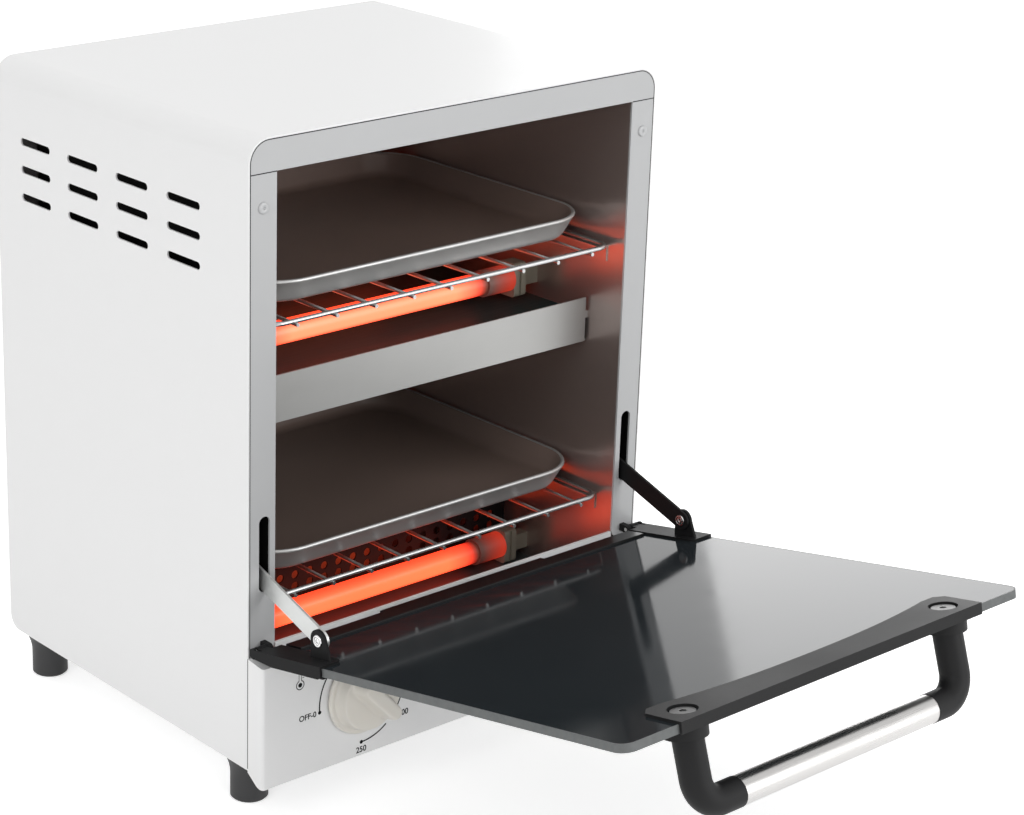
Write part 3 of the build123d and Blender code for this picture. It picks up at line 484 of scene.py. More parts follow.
class STERILIZER_OT_front_frame(bpy.types.Operator):
    """Finish the band and the posts, and add their screws and painted shadows in the seams"""

    bl_idname = "sterilizer.front_frame"
    bl_label = "Front frame"

    def execute(self, context):
        settings = context.scene.sterilizer_casing
        satin = painted("satin_grey_coat", settings.satin, 0.36, 1400.0, 0.00001, 0.02, coat=0.1)
        assign(satin, "front_band", "side_post_left", "side_post_right")
        self.add_screws(settings)
        self.add_seam_shadows()
        return {"FINISHED"}

    def add_screws(self, settings):
        """Round heads with a small sunk centre, in the colour of the posts."""
        low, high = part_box("post_screws")
        radius, rise = 2.9 * MM, 1.0 * MM
        profile = [
            (radius, 0.0), (radius, 0.35 * rise), (0.93 * radius, 0.8 * rise), (0.8 * radius, rise),
            (0.36 * radius, rise), (0.28 * radius, 0.86 * rise), (0.24 * radius, 0.35 * rise),
            (0.05 * radius, 0.3 * rise),
        ]
        middle = (low.z + high.z) / 2
        heads = [
            lathe_mesh("head", profile, (side * (high.x - radius), front_face, middle), (0, -1, 0))
            for side in (-1, 1)
        ]
        coat = painted("screw_coat", shade(settings.satin, 0.05), 0.34, 1400.0, 0.00002, 0.06, coat=0.2)
        piece = add_piece("post_screw_heads", join_meshes("post_screw_heads", heads), coat, "casing")
        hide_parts("post_screws")

    def add_seam_shadows(self):
        """Narrow dark ribbons of painted shadow in the gaps between the shell, the band, the posts and
        the control panel.
        """
        lift = 0.03 * MM
        width = 0.55 * MM
        inset = 1.12 * MM
        half = shell_high.x - inset
        top = shell_high.z - inset
        bend = shell_corner - inset
        foot = panel_crown + 0.3 * MM
        arc = [TAU / 4 * k / 16 for k in range(17)]
        left = [(-half + bend - bend * math.cos(a), top - bend + bend * math.sin(a)) for a in arc]
        right = [(-x, z) for x, z in reversed(left)]
        place = lambda x, z: (x, front_face - lift, z)
        post_low, post_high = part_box("side_post_right")
        joint = post_high.z + 0.15 * MM
        meshes = [flat_ribbon("outline", [(-half, foot), *left, *right, (half, foot)], width, place)]
        for side in (-1, 1):
            across = [(side * post_low.x, joint), (side * half, joint)]
            meshes.append(flat_ribbon("joint", across, width, place))
        beside = lambda y, z: (shell_low.x - lift, y, z)
        other = lambda y, z: (shell_high.x + lift, y, z)
        side_line = [(front_face, shell_low.z + 1 * MM), (front_face, panel_crown)]
        meshes.append(flat_ribbon("side", side_line, width, beside))
        meshes.append(flat_ribbon("side", side_line, width, other))
        # painted shadow: near-black ribbons lying on the sheet where the gaps are
        dark = painted("seam_shadow", (0.012, 0.012, 0.012), 0.8, 900.0, 0.00001, 0.2)
        add_piece("front_seam_shadows", join_meshes("front_seam_shadows", meshes), dark, "casing", smooth=False)


class STERILIZER_OT_control_panel(bpy.types.Operator):
    """Finish the control panel and print its dials"""

    bl_idname = "sterilizer.control_panel"
    bl_label = "Control panel"

    def execute(self, context):
        settings = context.scene.sterilizer_casing
        moulding = painted("panel_moulding", settings.moulding, 0.34, 1100.0, 0.00001, 0.01, coat=0.2)
        assign(moulding, "control_panel")
        block = painted("dark_control_moulding", (0.03, 0.03, 0.032), 0.5, 600.0, 0.00004, 0.1)
        assign(block, "thermostat_body", "timer_body", "lamp_socket", "terminal_block")
        lens = painted("red_lens", (0.55, 0.03, 0.015), 0.15, 300.0, 0.00003, 0.08, coat=0.6)
        assign(lens, "indicator_lens")
        shafts = drawn_metal("turned_steel", (0.5, 0.5, 0.5), 0.3, "Y")
        assign(shafts, "temperature_shaft", "timer_shaft", "timer_bell")
        ink = painted("dial_ink", settings.ink, 0.6, 900.0, 0.000005, 0.2, specular=0.1)
        self.add_temperature_dial(settings, ink)
        self.add_timer_dial(settings, ink)
        return {"FINISHED"}

    def on_panel(self, x, z, lift=print_lift):
        """The point of the panel's face at x and z; past its top edge the print bends back with it."""
        above = max(z - face_top, 0.0)
        turn = min(above / panel_edge, math.radians(80))
        rest = above - turn * panel_edge
        radius = panel_edge + lift
        back = panel_face + panel_edge - radius * math.cos(turn) + rest * math.sin(turn)
        return (x, back, min(z, face_top) + radius * math.sin(turn) + rest * math.cos(turn))

    def arc(self, centre, radius, start, end, width=0.8 * MM):
        """A printed arc between two angles, in degrees anticlockwise from the right."""
        steps = max(2, int(abs(end - start) / 3))
        angles = [math.radians(start + (end - start) * k / steps) for k in range(steps + 1)]
        path = [(centre[0] + radius * math.cos(a), centre[1] + radius * math.sin(a)) for a in angles]
        return flat_ribbon("arc", path, width, self.on_panel)

    def line(self, start, end, width):
        """A straight printed line."""
        path = [Vector(start).lerp(Vector(end), k / 6) for k in range(7)]
        return flat_ribbon("line", [tuple(p) for p in path], width, self.on_panel)

    def spot(self, centre, radius):
        """A printed round spot."""
        mesh = bpy.data.meshes.new("spot")
        angles = [TAU * k / 20 for k in range(20)]
        ring = [(centre[0] + radius * math.cos(a), centre[1] + radius * math.sin(a)) for a in angles]
        mesh.from_pydata([self.on_panel(x, z) for x, z in ring], [], [tuple(range(20))])
        return mesh

    def figures(self, words, size, place, align="CENTER"):
        """Plain printed figures; align is the side of them that is at the place."""
        curve = bpy.data.curves.new("figures", "FONT")
        curve.body = words
        curve.size = size
        curve.offset = 0.022 * size
        curve.align_x = align
        curve.align_y = "CENTER"
        holder = bpy.data.objects.new("figures", curve)
        mesh = bpy.data.meshes.new_from_object(holder)
        bpy.data.objects.remove(holder)
        bpy.data.curves.remove(curve)
        for vertex in mesh.vertices:
            vertex.co = self.on_panel(vertex.co.x + place[0], vertex.co.y + place[1])
        mesh.materials.clear()
        return mesh

    def dial(self, centre, radius, size, first, step, labels):
        """Marks on an arc that is broken after each figure and has a spot at both ends."""
        last = first - step * len(labels)
        meshes = []
        for degrees in (first, last):
            a = math.radians(degrees)
            at = (centre[0] + radius * math.cos(a), centre[1] + radius * math.sin(a))
            meshes.append(self.spot(at, 1.05 * MM))
        begin = first
        for count, (words, reach) in enumerate(labels, 1):
            degrees = first - step * count
            a = math.radians(degrees)
            if reach == radius:  # a figure without room outside the arc stands in the gap after it
                a -= math.radians(gap_middle * step)
            place = (centre[0] + reach * math.cos(a), centre[1] + reach * math.sin(a))
            meshes.append(self.figures(words, size, place))
            end = degrees + 4 if count < len(labels) else last
            meshes.append(self.arc(centre, radius, begin, end))
            begin = degrees - arc_gap * step
        return meshes

    def add_temperature_dial(self, settings, ink):
        """Figures from 0 to 250, an arc between them and a thermometer sign."""
        knob_low, knob_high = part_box("temperature_knob")
        centre = ((knob_low.x + knob_high.x) / 2, (knob_low.z + knob_high.z) / 2 - 1.3 * MM)
        radius = settings.dial_radius
        size = settings.figure_size
        low_end, step = 185.6, 55.1
        far = radius + 4.9 * MM
        labels = [
            ("50", far), ("100", radius), ("150", far + 0.3 * MM), ("200", far + 1.4 * MM),
            ("250", radius + 4.2 * MM),
        ]
        meshes = self.dial(centre, radius, size, low_end, step, labels)
        a = math.radians(low_end)
        start = (centre[0] + radius * math.cos(a), centre[1] + radius * math.sin(a))
        beside = (start[0] - 2.1 * MM, start[1] - 0.1 * MM)
        meshes.append(self.figures("OFF-0", 0.94 * size, beside, "RIGHT"))
        meshes += self.thermometer(thermometer_place)
        piece = join_meshes("temperature_dial", meshes)
        add_piece("temperature_dial", piece, ink, "casing", smooth=False)

    def thermometer(self, bulb):
        """A small thermometer: a ring with a spot in it and a stem with a few marks."""
        x, z = bulb
        ring = 2.35 * MM
        meshes = [self.arc(bulb, ring, 110, 430, 0.5 * MM), self.spot(bulb, 1.25 * MM)]
        top = z + 7.6 * MM
        fine = 0.35 * MM
        for side in (x - 0.8 * MM, x + 0.8 * MM):
            meshes.append(self.line((side, z + ring - 0.2 * MM), (side, top), fine))
        for k in range(3):
            mark = z + (3.6 + 1.5 * k) * MM
            meshes.append(self.line((x + 1.4 * MM, mark), (x + 2.4 * MM, mark), fine))
        return meshes

    def add_timer_dial(self, settings, ink):
        """Minutes from 0 to 60 round the timer's knob."""
        knob_low, knob_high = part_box("timer_knob")
        centre = ((knob_low.x + knob_high.x) / 2, (knob_low.z + knob_high.z) / 2)
        radius = settings.dial_radius
        far = radius + 4.6 * MM
        labels = [(str(10 * k), far) for k in range(1, 7)]
        meshes = self.dial(centre, radius, settings.figure_size, 90.0, 50.0, labels)
        a = math.radians(108)  # left of the arc's first spot, where the panel has room for it
        zero = (centre[0] + radius * math.cos(a), centre[1] + radius * math.sin(a))
        meshes.append(self.figures("0", settings.figure_size, zero))
        add_piece("timer_dial", join_meshes("timer_dial", meshes), ink, "casing", smooth=False)


class STERILIZER_OT_knobs(bpy.types.Operator):
    """Mould the knobs with soft edges"""

    bl_idname = "sterilizer.knobs"
    bl_label = "Knobs"

    def execute(self, context):
        settings = context.scene.sterilizer_casing
        cream = painted("cream_moulding", settings.cream, 0.36, 420.0, 0.00002, 0.02, coat=0.15)
        shader = cream.node_tree.nodes["Principled BSDF"]
        waxy = {"Subsurface Weight": 0.12, "Subsurface Radius": (0.002, 0.0018, 0.0014)}
        feed(cream.node_tree, shader, waxy)
        for node, body in (("temperature_knob", "temperature_control"), ("timer_knob", "timer_control")):
            mesh = soft_copy(node, 0.55 * MM, 6)
            piece = add_piece(f"{node}_moulding", mesh, cream, body)
            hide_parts(node)
        return {"FINISHED"}


class STERILIZER_OT_cavity(bpy.types.Operator):
    """Finish the liner, the shelf, the ledges and the guard"""

    bl_idname = "sterilizer.cavity"
    bl_label = "Cavity"

    def execute(self, context):
        settings = context.scene.sterilizer_cavity
        along = drawn_metal("liner_steel", settings.steel, 0.29, "Y", 0.0000005, 0.04, 0.85, 0.05)
        self.darken_outside(along)
        assign(along, "liner_side_left", "liner_side_right", "liner_roof", "rack_ledges")
        floor = drawn_metal("liner_floor_steel", (0.075, 0.085, 0.085), 0.42, "X", 0.000002, 0.08, 0.25)
        assign(floor, "liner_floor")
        # painted shade: the back wall takes the liner's tint made much darker, for the shade deep in the
        # cavity
        shaded_back_tint = shade(settings.steel, -0.75)
        back = drawn_metal("liner_back_steel", shaded_back_tint, 0.45, "X", 0.000002, 0.08, 0.4)
        assign(back, "liner_back")
        guard = drawn_metal("guard_steel", (0.014, 0.015, 0.015), 0.5, "X", 0.000006, 0.1, 0.0)
        shader = guard.node_tree.nodes["Principled BSDF"]
        feed(guard.node_tree, shader, {"Specular IOR Level": 0.15})
        assign(guard, "heater_guard")
        assign(self.shelf_material(), "tier_shelf")
        return {"FINISHED"}

    def darken_outside(self, material):
        """Paint shade on the faces that look at the casing's wall: a dull, near-black tone for the dark
        gap behind them.
        """
        tree = material.node_tree
        shader = tree.nodes["Principled BSDF"]
        place = next(n for n in tree.nodes if n.type == "TEX_COORD").outputs["Object"]
        steel = shader.inputs["Base Color"].links[0].from_socket
        gloss = shader.inputs["Roughness"].links[0].from_socket
        x, _, _ = parts_of(tree, place)
        reach = math_node(tree, "ABSOLUTE", x)
        outside = math_node(tree, "GREATER_THAN", reach, liner_outer_x - 0.2 * MM)
        # painted shade: the tone held in scale is the near-black of the gap between the liner and the
        # casing, not a heat scale
        scale = mix_colours(tree, noise(tree, place, 40.0), (0.012, 0.012, 0.012), (0.022, 0.021, 0.020))
        feed(tree, shader, {
            "Base Color": mix_colours(tree, outside, steel, scale),
            "Roughness": math_node(tree, "MAXIMUM", gloss, math_node(tree, "MULTIPLY", outside, 0.7)),
        })

    def shelf_material(self):
        """Bright satin on the front lip; painted shade on the sheets behind it, a dull dark tone tinted
        blue-green so that the tubes' red light leaves it grey.
        """
        material, tree, shader, place = new_material("shelf_steel")
        low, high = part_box("tier_shelf")
        _, y, _ = parts_of(tree, place)
        behind = math_node(tree, "GREATER_THAN", y, low.y + 1.0 * MM)
        lines = noise(tree, place, 2200.0, 3.0, (0.02, 1, 1))
        clouds = noise(tree, place, 16.0, 4.0)
        bright = mix_colours(tree, clouds, (0.40, 0.40, 0.39), (0.47, 0.47, 0.46))
        # painted shade: the top sheets are the lip's steel made dark, with extra green and blue against
        # the red glow
        dull = mix_colours(tree, clouds, (0.022, 0.046, 0.046), (0.030, 0.058, 0.058))
        feed(tree, shader, {
            "Base Color": mix_colours(tree, behind, bright, dull),
            "Roughness": remap(tree, lines, 0.32, 0.46, 0.3, 0.7),
            "Specular IOR Level": 0.03,
            "Metallic": math_node(tree, "MULTIPLY", math_node(tree, "SUBTRACT", 1.0, behind), 0.45),
        })
        bump(tree, shader, lines, 0.00001)
        return material


class STERILIZER_OT_heaters(bpy.types.Operator):
    """Finish the glowing tubes, their caps and holders and the sensing bulb"""

    bl_idname = "sterilizer.heaters"
    bl_label = "Heaters"

    def execute(self, context):
        settings = context.scene.sterilizer_cavity
        upper = self.glow_material(settings, "heater_tubes_upper", (0.0, 0.060, 0.040))
        lower = self.glow_material(settings, "heater_tubes_lower", (0.0, 0.0, 0.0))
        assign(upper, "heater_tubes_upper")
        assign(lower, "heater_tubes_lower", "heating_coils")
        assign(self.cap_material(), "heater_caps")
        ceramic = painted("ceramic", (0.36, 0.34, 0.27), 0.7, 400.0, 0.0001, 0.12)
        assign(ceramic, "heater_holders")
        copper = drawn_metal("copper_tube", (0.6, 0.33, 0.2), 0.3, "Y")
        assign(copper, "thermostat_bulb")
        return {"FINISHED"}

    def cap_material(self):
        """Dull pressed caps, grey-brown by the glass, with a painted dark red glow that grows towards the
        holder.
        """
        caps, tree, shader, place = new_material("caps_with_painted_glow")
        x, _, _ = parts_of(tree, place)
        # painted light: the caps take the tubes' red light as their own colour and emission, stronger
        # towards the holder
        painted_glow_share = remap(tree, math_node(tree, "ABSOLUTE", x), 0.0, 1.0, 0.080, 0.094)
        clouds = noise(tree, place, 120.0, 3.0)
        dull = mix_colours(tree, clouds, (0.22, 0.15, 0.13), (0.28, 0.20, 0.17))
        feed(tree, shader, {
            "Base Color": mix_colours(tree, painted_glow_share, dull, (0.30, 0.07, 0.05)),
            "Roughness": 0.45,
            "Emission Color": (0.9, 0.05, 0.02, 1),
            "Emission Strength": math_node(tree, "ADD", math_node(tree, "MULTIPLY", painted_glow_share, 0.42), 0.04),
        })
        bump(tree, shader, clouds, 0.00003)
        return caps

    def glow_material(self, settings, node, paler):
        """Frosted quartz that glows, brightest in the middle and redder at its ends and edges."""
        glow, tree, shader, place = new_material(f"glowing_{node}")
        low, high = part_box(node)
        x, _, z = parts_of(tree, place)
        reach = math_node(tree, "ABSOLUTE", x)
        hot = remap(tree, reach, 1.0, 0.03, 0.069, 0.077)
        clouds = noise(tree, place, 45.0, 2.0, (0.25, 1, 1))
        first = tuple(min(1.0, c + p) for c, p in zip(settings.glow, paler))
        second = tuple(min(1.0, c + p + 0.02) for c, p in zip(settings.glow, paler))
        middle = mix_colours(tree, clouds, first, second)
        off_axis = math_node(tree, "ABSOLUTE", math_node(tree, "SUBTRACT", z, (low.z + high.z) / 2))
        half = (high.z - low.z) / 2
        rim = remap(tree, off_axis, 0.0, 1.0, 0.45 * half, half)
        middle = mix_colours(tree, rim, middle, (0.8, 0.035, 0.010))
        near_end = remap(tree, reach, 0.0, 1.0, 0.055, 0.075)
        feed(tree, shader, {
            "Base Color": (0.30, 0.13, 0.09, 1),
            "Roughness": 0.35,
            "Emission Color": mix_colours(tree, near_end, middle, (0.6, 0.018, 0.006)),
            "Emission Strength": math_node(tree, "MULTIPLY", hot, settings.glow_strength),
        })
        bump(tree, shader, noise(tree, place, 500.0), 0.00001)
        return glow


class STERILIZER_OT_racks(bpy.types.Operator):
    """Finish the wire racks and press the two-tone trays"""

    bl_idname = "sterilizer.racks"
    bl_label = "Racks and trays"

    def execute(self, context):
        settings = context.scene.sterilizer_cavity
        chrome = drawn_metal("rack_chrome", (0.50, 0.50, 0.50), 0.33, "X", 0.00001, 0.08)
        assign(chrome, "rack_upper", "rack_lower")
        inside = painted("tray_coat", settings.tray_inside, 0.34, 800.0, 0.00002, 0.12, specular=0.6)
        feed(inside.node_tree, inside.node_tree.nodes["Principled BSDF"], {"Coat Weight": 0.35})
        outside = drawn_metal("tray_aluminium", settings.tray_outside, 0.38, "X", 0.00001, 0.1, 0.6)
        for node, body in (("tray_upper", "upper_tray"), ("tray_lower", "lower_tray")):
            mesh = self.tray_mesh(node, settings)
            piece = add_piece(f"{node}_pressing", mesh, [outside, inside], body)
            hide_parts(node)
        return {"FINISHED"}

    def tray_mesh(self, node, settings):
        """Walls, rolled rim, rounded bottom edge; the inner faces take the second material."""
        low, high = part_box(node)
        bead = 1.1 * MM
        sheet = 0.8 * MM
        bend = 4.0 * MM
        half_x = (high.x - low.x) / 2 - bead
        half_y = (high.y - low.y) / 2 - bead
        centre = ((low.x + high.x) / 2, (low.y + high.y) / 2)
        deep = high.z - bead - low.z
        flare = settings.tray_flare
        lean = math.atan2(flare, deep)

        def bottom_edge(inset, lift):
            """Profile of the bend from the flat bottom to the wall, as inset from the rim and height."""
            start = Vector((flare + inset + bend, lift))
            corner = Vector((flare + inset, lift))
            end = corner + Vector((-math.sin(lean), math.cos(lean))) * bend
            steps = [k / 7 for k in range(8)]
            return [start.lerp(corner, t).lerp(corner.lerp(end, t), t) for t in steps]

        outer = [Vector((half_y * 0.9, 0.0)), Vector((30 * MM, 0.0)), *bottom_edge(0.0, 0.0)]
        middle = Vector((0.0, deep))
        roll = [
            middle + Vector((-math.cos(a), math.sin(a))) * bead
            for a in (math.radians(d) for d in range(-70, 200, 27))
        ]
        inner = bottom_edge(sheet, sheet)[::-1]
        inner += [Vector((30 * MM, sheet)), Vector((half_y * 0.9, sheet))]
        rings = []
        for inset, lift in (*outer, *roll, *inner):
            corner = max(settings.tray_corner - inset, 1.5 * MM)
            outline = rounded_rectangle(half_x - inset, half_y - inset, corner, 10)
            rings.append([(centre[0] + x, centre[1] + y, low.z + lift) for x, y in outline])
        mesh = mesh_from_rings(node, rings)
        count = len(rings[0])
        first_inner = (len(outer) + len(roll) - 2) * count
        for index, polygon in enumerate(mesh.polygons):
            polygon.material_index = 1 if index >= first_inner and index != len(mesh.polygons) - 2 else 0
        return mesh


class STERILIZER_OT_door(bpy.types.Operator):
    """Finish the glass, its fittings and the handle, and add the rivets"""

    bl_idname = "sterilizer.door"
    bl_label = "Door"

    def execute(self, context):
        settings = context.scene.sterilizer_door
        assign(self.glass_material(settings), "door_glass")
        black = painted("black_coat_and_link_shade", settings.coat, 0.45, 1200.0, 0.00003, 0.1, specular=0.05)
        # painted shade: the right link, a twin of the zinc left one, takes the black coat for the shade
        # it lies in
        assign(black, "door_bracket_left", "door_bracket_right", "hinge_lugs", "door_link_right")
        jet = shade(settings.coat, -0.5)
        shiny = painted("gloss_black", jet, 0.34, 900.0, 0.00001, 0.1, specular=0.2)
        assign(shiny, "hinge_rail")
        matt = painted("matt_black", settings.coat, 0.55, 1500.0, 0.00004, 0.12, specular=0.15)
        assign(matt, "handle_band", "handle_elbow_left", "handle_elbow_right")
        bright = drawn_metal("zinc_plate", (0.60, 0.61, 0.60), 0.385, "Y", 0.00001, 0.06, 0.7)
        assign(bright, "door_link_left", "hinge_pins")
        # painted shade: the screw heads sit in recesses, so their zinc is made near black
        dark = drawn_metal("zinc_in_recess_shade", (0.055, 0.055, 0.055), 0.4, "X")
        assign(dark, "handle_screws")
        chrome = drawn_metal("bar_chrome", (0.55, 0.54, 0.53), 0.28, "X", 0.00001, 0.05)
        assign(chrome, "handle_bar")
        brackets = ("door_bracket_left", "door_bracket_right")
        for node in ("handle_band", *brackets, "door_link_left", "hinge_rail"):
            edge = nodes[node].modifiers.new("edge", "BEVEL")
            edge.width = 0.3 * MM
            edge.segments = 2
            edge.limit_method = "ANGLE"
        self.add_rivets()
        return {"FINISHED"}

    def glass_material(self, settings):
        """A dark mirror-like pane with ground grey edges."""
        glass, tree, shader, place = new_material("dark_pane")
        x, y, z = parts_of(tree, place)
        out = math_node(tree, "MULTIPLY", math_node(tree, "SUBTRACT", y, hinge.y), door_out.y)
        rise = math_node(tree, "MULTIPLY", math_node(tree, "SUBTRACT", z, hinge.z), door_out.z)
        along = math_node(tree, "ADD", out, rise)
        low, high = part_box("door_glass")
        bend = 7 * MM
        across = math_node(tree, "SUBTRACT", math_node(tree, "ABSOLUTE", x), high.x - bend)
        beyond = math_node(tree, "SUBTRACT", along, glass_reach - bend)
        outside = rounded_distance(tree, across, beyond, bend)
        edge = math_node(tree, "GREATER_THAN", outside, -0.7 * MM)
        smear = noise(tree, place, 30.0, 4.0)
        face = mix_colours(tree, smear, shade(settings.tint, -0.06), shade(settings.tint, 0.1))
        ground = mix_colours(tree, noise(tree, place, 300.0), (0.13, 0.137, 0.137), (0.18, 0.187, 0.187))
        polish = remap(tree, smear, 0.06, 0.10, 0.3, 0.7)
        feed(tree, shader, {
            "Base Color": mix_colours(tree, edge, face, ground),
            "Roughness": math_node(tree, "MAXIMUM", polish, math_node(tree, "MULTIPLY", edge, 0.45)),
            "IOR": settings.gloss,
        })
        return glass

    def add_rivets(self):
        """Ringed rivet heads each side of an ear and its link, with a sunk drive in the middle."""
        low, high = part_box("link_rivets")
        middle_y, middle_z = (low.y + high.y) / 2, (low.z + high.z) / 2
        shank, head, rise = 2.0 * MM, 3.1 * MM, 0.6 * MM
        profile = [
            (head, 0.0), (head, 0.4 * rise), (0.9 * head, rise), (0.74 * head, rise),
            (0.68 * head, 0.35 * rise), (0.58 * head, 0.35 * rise), (0.52 * head, 0.95 * rise),
            (0.34 * head, 0.95 * rise), (0.30 * head, 0.2 * rise), (0.04 * head, 0.15 * rise),
        ]
        ear_outer_x = high.x - rise
        meshes = []
        for side in (-1, 1):
            at = lambda x: (side * x, middle_y, middle_z)
            meshes.append(lathe_mesh("outer", profile, at(ear_outer_x), (side, 0, 0)))
            meshes.append(lathe_mesh("inner", profile, at(ear_inner_x), (-side, 0, 0)))
            barrel = [(shank, 0), (shank, ear_outer_x - ear_inner_x)]
            meshes.append(lathe_mesh("shank", barrel, at(ear_inner_x), (side, 0, 0)))
        chrome = drawn_metal("rivet_chrome", (0.66, 0.66, 0.66), 0.2, "X", 0.00001, 0.08)
        mesh = join_meshes("rivet_heads", meshes)
        piece = add_piece("rivet_heads", mesh, chrome, "door", smooth=False)
        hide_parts("link_rivets")


class STERILIZER_OT_springs(bpy.types.Operator):
    """Wind the balance springs and finish the bars that hold them"""

    bl_idname = "sterilizer.springs"
    bl_label = "Balance springs"

    def execute(self, context):
        settings = context.scene.sterilizer_door
        low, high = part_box("door_springs")
        coil_radius = 3.05 * MM
        wire = 0.42 * MM
        axis_x = high.x - 3.5 * MM
        axis_z = (low.z + high.z) / 2
        start, end = low.y + 4 * MM, high.y - 6 * MM
        turns = settings.spring_turns
        meshes = []
        for side in (-1, 1):
            x = side * axis_x
            path = [(x, low.y + 0.6 * MM, axis_z), (x, start - 1.5 * MM, axis_z)]
            for k in range(turns * 10 + 1):
                a = TAU * k / 10
                y = start + (end - start) * k / (turns * 10)
                path.append((x + coil_radius * math.sin(a), y, axis_z + coil_radius * math.cos(a)))
            path += [(x, end + 1.5 * MM, axis_z), (x, high.y - 0.6 * MM, axis_z)]
            meshes.append(tube_mesh("spring", path, wire, 6))
        steel = drawn_metal("spring_steel", (0.42, 0.42, 0.42), 0.3, "Y")
        assign(steel, "spring_anchors")
        piece = add_piece("wound_springs", join_meshes("wound_springs", meshes), steel, "casing")
        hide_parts("door_springs")
        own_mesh(piece)
        return {"FINISHED"}


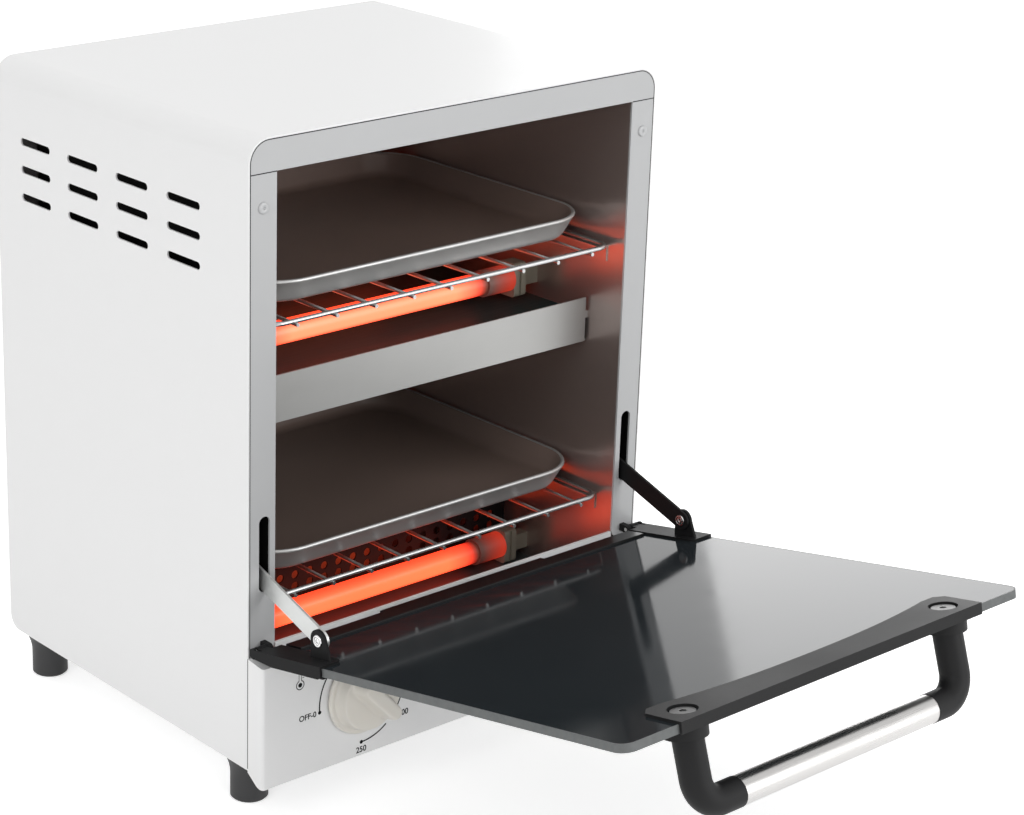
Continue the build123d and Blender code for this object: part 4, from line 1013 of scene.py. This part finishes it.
class STERILIZER_OT_stage(bpy.types.Operator):
    """Set the floor, the lights, the world and the camera"""

    bl_idname = "sterilizer.stage"
    bl_label = "Stage"

    def execute(self, context):
        settings = context.scene.sterilizer_stage
        self.add_floor()
        self.add_world()
        self.add_lights()
        self.add_camera(settings)
        context.scene.view_settings.view_transform = "Standard"
        return {"FINISHED"}

    def add_floor(self):
        mesh = bpy.data.meshes.new("floor")
        mesh.from_pydata([(-4, -4, 0), (4, -4, 0), (4, 4, 0), (-4, 4, 0)], [], [(0, 1, 2, 3)])
        floor = bpy.data.objects.new("floor", mesh)
        bpy.context.scene.collection.objects.link(floor)
        material, tree, shader, place = new_material("pale_floor")
        cloud = noise(tree, place, 3.0, 3.0)
        feed(tree, shader, {
            "Base Color": mix_colours(tree, cloud, (0.93, 0.93, 0.93), (0.95, 0.95, 0.95)),
            "Roughness": 0.9,
            "Emission Color": (1, 1, 1, 1),
            "Emission Strength": math_node(tree, "MULTIPLY", self.seen_rays(tree), 0.55),
        })
        mesh.materials.append(material)

    def seen_rays(self, tree):
        """One for rays that show the background itself or its mirror image, else nought."""
        path = tree.nodes.new("ShaderNodeLightPath")
        rays = math_node(tree, "ADD", path.outputs["Is Camera Ray"], path.outputs["Is Glossy Ray"])
        rays = math_node(tree, "ADD", rays, path.outputs["Is Transmission Ray"])
        return math_node(tree, "MINIMUM", rays, 1.0)

    def add_world(self):
        world = bpy.data.worlds.new("studio")
        bpy.context.scene.world = world
        world.use_nodes = True
        tree = world.node_tree
        light = tree.nodes["Background"]
        feed(tree, light, {"Color": (1, 1, 1, 1), "Strength": 0.55})
        seen = tree.nodes.new("ShaderNodeBackground")
        feed(tree, seen, {"Color": (1, 1, 1, 1), "Strength": 1.0})
        mix = tree.nodes.new("ShaderNodeMixShader")
        shades = light.outputs["Background"], seen.outputs["Background"]
        feed(tree, mix, {"Fac": self.seen_rays(tree), 1: shades[0], 2: shades[1]})
        feed(tree, tree.nodes["World Output"], {"Surface": mix.outputs["Shader"]})

    def add_lights(self):
        for name, place, size, power in (
            ("key", (-2.2, -0.7, 1.2), 1.6, 17.0),
            ("fill", (1.0, -2.3, 0.9), 1.6, 29.0),
            ("top", (0.0, 0.4, 2.3), 2.0, 13.5),
        ):
            self.add_lamp(name, place, (0, 0, 0.17), size, power)
        # two low white cards behind the casing that only glossy faces show, for the glass
        for place, power in (((2.175, 1.58, 0.55), 4.2), ((2.26, 1.47, 0.55), 9.0)):
            card = self.add_lamp("card", place, (0.1, -0.1, 0.15), 1.04, power)
            card.data.shape = "RECTANGLE"
            card.data.size_y = 1.0
            card.visible_camera = False
            card.visible_diffuse = False

    def add_lamp(self, name, place, target, size, power):
        """A square area lamp that points at the target."""
        data = bpy.data.lights.new(name, "AREA")
        data.size = size
        data.energy = power
        lamp = bpy.data.objects.new(name, data)
        lamp.location = place
        aim = Vector(target) - Vector(place)
        lamp.rotation_euler = aim.to_track_quat("-Z", "Y").to_euler()
        bpy.context.scene.collection.objects.link(lamp)
        return lamp

    def add_camera(self, settings):
        data = bpy.data.cameras.new("camera")
        data.lens = settings.lens
        data.shift_x = settings.shift_x
        data.shift_y = settings.shift_y
        camera = bpy.data.objects.new("camera", data)
        level = Vector((math.sin(settings.azimuth), math.cos(settings.azimuth), 0))
        ahead = level * math.cos(settings.dip) - Vector((0, 0, math.sin(settings.dip)))
        right = ahead.cross(Vector((0, 0, 1))).normalized()
        up = right.cross(ahead)
        turned = right * math.cos(settings.roll) + up * math.sin(settings.roll)
        upright = up * math.cos(settings.roll) - right * math.sin(settings.roll)
        rotation = Matrix((turned, upright, -ahead)).transposed()
        camera.matrix_world = Matrix.Translation(settings.camera_place) @ rotation.to_4x4()
        bpy.context.scene.collection.objects.link(camera)
        bpy.context.scene.camera = camera


OPERATORS = (
    STERILIZER_OT_casing,
    STERILIZER_OT_front_frame,
    STERILIZER_OT_control_panel,
    STERILIZER_OT_knobs,
    STERILIZER_OT_cavity,
    STERILIZER_OT_heaters,
    STERILIZER_OT_racks,
    STERILIZER_OT_door,
    STERILIZER_OT_springs,
    STERILIZER_OT_stage,
)
SETTINGS = {
    "sterilizer_casing": CasingSettings,
    "sterilizer_cavity": CavitySettings,
    "sterilizer_door": DoorSettings,
    "sterilizer_stage": StageSettings,
}


class STERILIZER_PT_panel(bpy.types.Panel):
    """Lists the pieces in the sidebar"""

    bl_label = "Sterilizer"
    bl_idname = "STERILIZER_PT_panel"
    bl_space_type = "VIEW_3D"
    bl_region_type = "UI"
    bl_category = "Sterilizer"

    def draw(self, context):
        for name, group in SETTINGS.items():
            box = self.layout.box()
            for prop in group.__annotations__:
                box.prop(getattr(context.scene, name), prop)
        for operator in OPERATORS:
            self.layout.operator(operator.bl_idname)


def register():
    for group in SETTINGS.values():
        bpy.utils.register_class(group)
    for name, group in SETTINGS.items():
        setattr(bpy.types.Scene, name, PointerProperty(type=group))
    for operator in OPERATORS:
        bpy.utils.register_class(operator)
    bpy.utils.register_class(STERILIZER_PT_panel)


def unregister():
    bpy.utils.unregister_class(STERILIZER_PT_panel)
    for operator in reversed(OPERATORS):
        bpy.utils.unregister_class(operator)
    for name in SETTINGS:
        delattr(bpy.types.Scene, name)
    for group in SETTINGS.values():
        bpy.utils.unregister_class(group)


def main():
    """Register the add-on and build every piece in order."""
    register()
    for operator in OPERATORS:
        group, name = operator.bl_idname.split(".")
        getattr(getattr(bpy.ops, group), name)()


if __name__ == "__main__":
    main()
